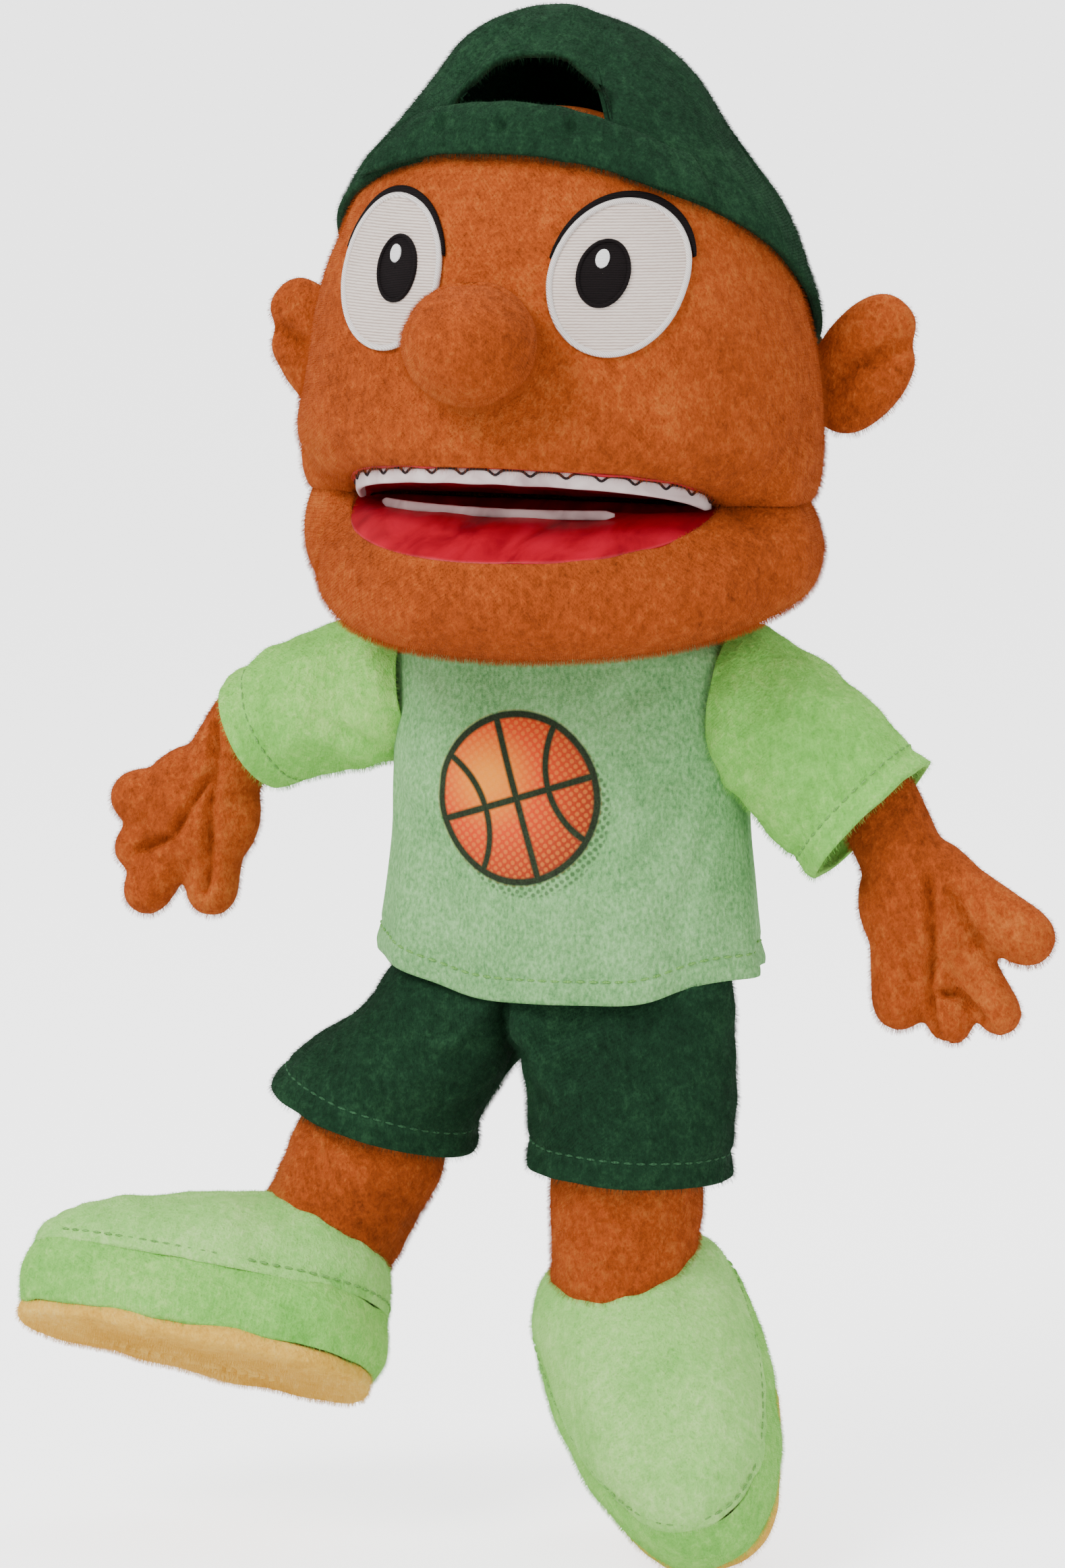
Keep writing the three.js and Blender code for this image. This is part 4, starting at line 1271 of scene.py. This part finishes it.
def shorts_half(side):
    s, sign = SHORTS[side], SIDES[side]["x"]
    around, n = 150, 74
    turn = circle(around)
    c, w = np.cos(turn), np.sin(turn)
    outer = WAIST_HALF - sign * CROTCH_X
    x = CROTCH_X + sign * np.where(c > 0, outer * np.abs(c) ** 0.95, 1.2 * c)
    y = -8.5 - 18.0 * power(w, 0.85)
    z = np.where(w >= 0, 9.0, 9.0 - 17 * ease(-w, 0.25, 0.9))
    waist = np.stack([x, y, z], -1)
    a = math.radians(s["tilt"]) * sign
    out = np.array([math.cos(a), 0, math.sin(a)])
    down = np.array([math.sin(a), 0, -math.cos(a)])
    hem = (np.array(s["hem"], float) + (sign * c * s["hem_r"][0])[:, None] * out
           + (-w * s["hem_r"][1])[:, None] * Y_AXIS)
    drop = np.stack([sign * 6.0 * np.clip(c, 0, 1), -4.5 * w, np.full_like(c, -22.0)], -1)
    rings = [bezier(waist, waist + drop, hem - down * 15, hem, t) for t in np.linspace(0, 1, n)]
    obj = skin(f"shorts_plush_{side}", np.array(rings).transpose(1, 0, 2), wrap=True)
    q = points_of(obj)
    dent = uneven(q, (26, 81 + (sign > 0), 1.3), (11, 83, 0.4))
    seam = bell(q[:, 0], CROTCH_X, 2.2) * ease(q[:, 2], -30, -18)
    dent -= 1.3 * seam
    hip = np.array([CROTCH_X, -26, -20.0])
    for target, depth in (((CROTCH_X + sign * 26, -33, -6), 1.7), ((CROTCH_X + sign * 30, -34, -20), 1.9),
                          ((CROTCH_X + sign * 20, -32, -36), 1.5)):
        dent += crease(q, hip, target, 4.2, depth)
    to_hem = (np.array(s["hem"]) - q) @ down
    dent += hem_form(to_hem)
    push(obj, lambda _: dent)
    thicken(obj, THICK["shorts"])
    stitch = hem_stitches(f"shorts_hem_stitch_{side}", obj, np.array(s["hem"]) - down * HEM, out,
                          lambda b: 42 if math.cos(b) * sign > -0.3 else 34, 110, "thread_dark_green")
    dress(obj, "dark")
    for piece in (obj, stitch):
        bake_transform(piece)
    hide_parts(f"shorts_leg_{side}", *(["shorts_waist"] if side == "right" else []))
    return obj


def leg(side):
    s = SHORTS[side]
    sign = SIDES[side]["x"]
    hip = np.array(s["hip"], float)
    a = math.radians(s["down_deg"])
    down = np.array([sign * math.sin(a), 0, -math.cos(a)])
    out = np.array([math.cos(a), 0, sign * math.sin(a)])
    turn = circle(90)
    rings = []
    for d in np.linspace(4, 74, 70):
        r = 20.2 - 5.0 * (1 - ease(d, 14, 34)) + 0.8 * math.sin(d / 22) - 3 * ease(d, 66, 74)
        rings.append(hip + down * d + (np.cos(turn) * r)[:, None] * out
                     + (np.sin(turn) * r)[:, None] * Y_AXIS)
    obj = tube(f"leg_plush_{side}", rings, "skin", closed_ends=True)
    q = points_of(obj)
    push(obj, lambda _: uneven(q, (22, 85 + (sign > 0), 0.9), (9, 87, 0.3)))
    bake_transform(obj)
    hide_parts(f"thigh_{side}", f"leg_{side}")
    return obj


SHOE = dict(toe=80.0, heel=23.0, half_w=30.5, band=17.0, sole=7.0, top=24.0)


def foot_frame(side):
    """The sole's origin under the ankle, and its toe, sideways and up directions."""
    s = SIDES[side]
    toe = unit(s["toe"])
    up = -unit(s["sole"])
    lateral = unit(np.cross(up, toe))
    up = unit(np.cross(toe, lateral))
    h = SHORTS[side]
    a = math.radians(h["down_deg"])
    ankle = np.array(h["hip"], float) + 67 * np.array([s["x"] * math.sin(a), 0, -math.cos(a)])
    return ankle - up * 17.6, np.stack([toe, lateral, up])


def footprint(turn, grow=0.0):
    """The outline of the shoe, from above."""
    c, s = np.cos(turn), np.sin(turn)
    reach = np.where(c > 0, SHOE["toe"], SHOE["heel"]) + grow
    wide = (SHOE["half_w"] + grow) * (1 - 0.08 * np.clip(-c, 0, 1))
    return power(c, 0.9) * reach, power(s, 0.85) * wide


def shoe(side):
    origin, axes = foot_frame(side)

    def place(x, y, z):
        return origin + np.stack([x, y, z], -1) @ axes

    def finish(obj, seed, material, body=f"leg_{side}"):
        q = points_of(obj)
        push(obj, lambda _: uneven(q, (26, seed, 0.9), (11, seed + 1, 0.35)))
        dress(obj, material)
        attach(obj, body)
        return obj

    turn, v = grid(170, 60, (0, 2 * math.pi), (0, 1), wrap=True)
    psi = v * math.pi / 2
    x, y = footprint(turn)
    shrink = np.cos(psi) ** 0.72 * 0.985
    back = 1 - ease(x * shrink, -10, 60)
    high = SHOE["top"] * (0.86 + 0.34 * back)
    z = high * np.sin(psi) ** 0.9
    mid = 26 * (1 - shrink)
    shell = skin(f"shoe_top_plush_{side}", place(x * shrink + mid * 0.55, y * shrink, z + 0.5), wrap=True)
    top = finish(thicken(shell, THICK["plush"]), 91, "pale_green")
    turn, v = grid(170, 26, (0, 2 * math.pi), (0, 1), wrap=True)
    bulge = 1.9 * np.sin(np.pi * v) ** 0.7 - 0.9
    x, y = footprint(turn, 0)
    fx, fy = footprint(turn, 10)
    x, y = x + (fx - x) / 10 * bulge, y + (fy - y) / 10 * bulge
    band = skin(f"shoe_side_plush_{side}", place(x, y, -SHOE["band"] + (SHOE["band"] + 1.2) * v), wrap=True)
    band = finish(thicken(band, THICK["plush"]), 93, "light")
    turn, w = grid(170, 40, (0, 2 * math.pi), (-math.pi / 2, math.pi / 2), wrap=True)
    x, y = footprint(turn, -0.8)
    pull = np.abs(np.cos(w)) ** 0.28
    half = (SHOE["sole"] + 0.6) / 2
    z = -SHOE["band"] - half + 1.9 + half * power(np.sin(w), 0.55)
    sole = finish(skin(f"shoe_sole_plush_{side}", place(x * pull + 26 * (1 - pull), y * pull, z), wrap=True),
                  95, "yellow")
    x, y = footprint(turn[:, 0])
    seam = dress(stitches(f"shoe_seam_stitch_{side}", place(x * 0.985, y * 0.985, 0 * x + 3.6), closed=True),
                 "thread_green")
    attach(seam, f"leg_{side}")
    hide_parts(f"shoe_top_{side}")
    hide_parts(f"shoe_side_{side}")
    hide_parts(f"shoe_sole_{side}")
    return top, band, sole


shorts = {side: shorts_half(side) for side in SIDES}
legs = {side: leg(side) for side in SIDES}
shoes = {side: shoe(side) for side in SIDES}
pad = copy_nodes("hip_stuffing_pad", ["hip_pad"], 1.5, 6)
push(pad, lambda q: lumps(q, 15, 97) * 0.5)
dress(pad, "dark")
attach(pad, "torso")
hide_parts("hip_pad")

# ---- inner pieces that keep their CAD shape ---------------------------------------------
for node, material in {"upper_mouth_board": "board", "lower_mouth_board": "board",
                       "finger_pocket": "lining", "thumb_pocket": "lining"}.items():
    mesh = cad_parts[node].data
    mesh.materials.clear()
    mesh.materials.append(M[material])


# ---- soft pieces: how full each stuffed part is ------------------------------------------
FILLED = [(head, 0.9), (jaw, 0.85), (cap[1], 0.5), (cap[2], 0.8), (nose_ball, 0.95), (pad, 0.7)]
FILLED += [(piece, 0.5) for piece in ears]
for side in SIDES:
    FILLED += [(hands[side], 0.7), (legs[side], 0.85), (arms[side], 0.6)]
    FILLED += [(piece, 0.8) for piece in shoes[side]]


# ---- pile on the plush pieces, but the arms, the neck and the hip pad -------------------
def under_cap(p):
    return p[:, 2] > cap_level(p[:, 0], p[:, 1]) + UNDER_CAP


def in_eye(p):
    near = np.zeros(len(p), bool)
    for sign in (-1, 1):
        r = ((p[:, 0] - sign * EYE["x"]) / EYE["half_w"]) ** 2 + ((p[:, 2] - EYE["z"]) / EYE["half_h"]) ** 2
        near |= (r < 1.04) & (p[:, 1] < -20)
    return near


def beside(name, mm=1.0):
    """Says which points lie on a row of stitches, where the pile is sewn down."""
    rows = points_of(bpy.data.objects[name])
    tree = KDTree(len(rows))
    for i, v in enumerate(rows):
        tree.insert(v, i)
    tree.balance()
    return lambda p: np.array([tree.find(v)[2] < mm for v in p])


pile(head, 1, comb=(0, 0, -1), bare=lambda p: under_cap(p) | in_eye(p))
pile(jaw, 2, comb=(0, 0, -1))
pile(nose_ball, 3, comb=(0, 0, -1), bare=lambda p: p[:, 1] > -70)
for k, piece in enumerate(ears):
    pile(piece, 4 + k, comb=(0, 0, -1))
for k, piece in enumerate(cap):
    pile(piece, 6 + k, bare=lambda p: (np.hypot(p[:, 0], p[:, 1] - HEAD_Y) < 4) & (p[:, 2] > 250))
for k, side in enumerate(SIDES):
    pile(sleeves[side], 20 + k, length=1.3, share=0.8, bare=beside(f"sleeve_hem_stitch_{side}"))
    pile(hands[side], 22 + k)
    pile(shorts[side], 24 + k, length=1.5, bare=beside(f"shorts_hem_stitch_{side}"))
    pile(legs[side], 26 + k)
    for j, piece in enumerate(shoes[side]):
        pile(piece, 30 + 3 * k + j, length=1.2, share=0.8)


# ---- stage ------------------------------------------------------------------------------
AIM = np.array([-13.5, 5.3, 52.5])
VIEW = dict(azimuth=20.0, elevation=8.5, distance=2000.0, frame=437.0)
WORLD_LIGHT = 0.85
GLOW = 2.2  # keeps the floor pale to the eye without lighting the puppet


SENSOR = 24  # height in mm
LOOK_AT = Vector((0, 0, 0.07))  # of the lights, in metres
FLOOR = dict(size=40, below=0.002, white=(0.95, 0.95, 0.95, 1), rough=0.9)
LIGHTS = {  # place and size in metres, power in watts
    "key": ((-0.7, -1.3, 1.3), 0.8, 34),
    "fill": ((1.3, -1.1, 0.6), 1.2, 9),
    "top": ((0.1, 0.5, 1.6), 1.0, 12),
}


def camera():
    az, el = math.radians(VIEW["azimuth"]), math.radians(VIEW["elevation"])
    back = np.array([math.sin(az) * math.cos(el), -math.cos(az) * math.cos(el), math.sin(el)])
    data = bpy.data.cameras.new("camera")
    data.sensor_fit = "VERTICAL"
    data.sensor_height = SENSOR
    data.lens = SENSOR * VIEW["distance"] / VIEW["frame"]
    obj = add_object("camera", data)
    obj.location = Vector((AIM + back * VIEW["distance"]) * MM)
    obj.rotation_euler = Vector(-back).to_track_quat("-Z", "Y").to_euler()
    bpy.context.scene.camera = obj


def light(name, place, size, power):
    data = bpy.data.lights.new(name, "AREA")
    data.size, data.energy = size, power
    obj = add_object(name, data)
    obj.location = place
    obj.rotation_euler = (LOOK_AT - Vector(place)).to_track_quat("-Z", "Y").to_euler()


def stage():
    bm = bmesh.new()
    bmesh.ops.create_grid(bm, x_segments=8, y_segments=8, size=FLOOR["size"])
    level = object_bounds()[0][2] - FLOOR["below"]
    obj = add_object("floor", mesh_of("floor", bm))
    obj.location = (0, 0, level)
    n = Nodes("floor_white")
    n.shader.inputs["Base Color"].default_value = FLOOR["white"]
    n.shader.inputs["Roughness"].default_value = FLOOR["rough"]
    seen = n.add("ShaderNodeLightPath")
    n.link(n.math("MULTIPLY", seen.outputs["Is Camera Ray"], GLOW), n.shader.inputs["Emission Strength"])
    n.shader.inputs["Emission Color"].default_value = (1, 1, 1, 1)
    obj.data.materials.append(n.mat)
    obj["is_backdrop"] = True
    world = bpy.data.worlds.new("studio")
    world.use_nodes = True
    world.node_tree.nodes["Background"].inputs[0].default_value = (1, 1, 1, 1)
    tree = world.node_tree
    seen, total = tree.nodes.new("ShaderNodeLightPath"), tree.nodes.new("ShaderNodeMath")
    total.operation = "MULTIPLY_ADD"
    tree.links.new(seen.outputs["Is Camera Ray"], total.inputs[0])
    total.inputs[1].default_value, total.inputs[2].default_value = GLOW, WORLD_LIGHT
    tree.links.new(total.outputs[0], tree.nodes["Background"].inputs[1])
    bpy.context.scene.world = world
    for name, values in LIGHTS.items():
        light(name, *values)


camera()
stage()
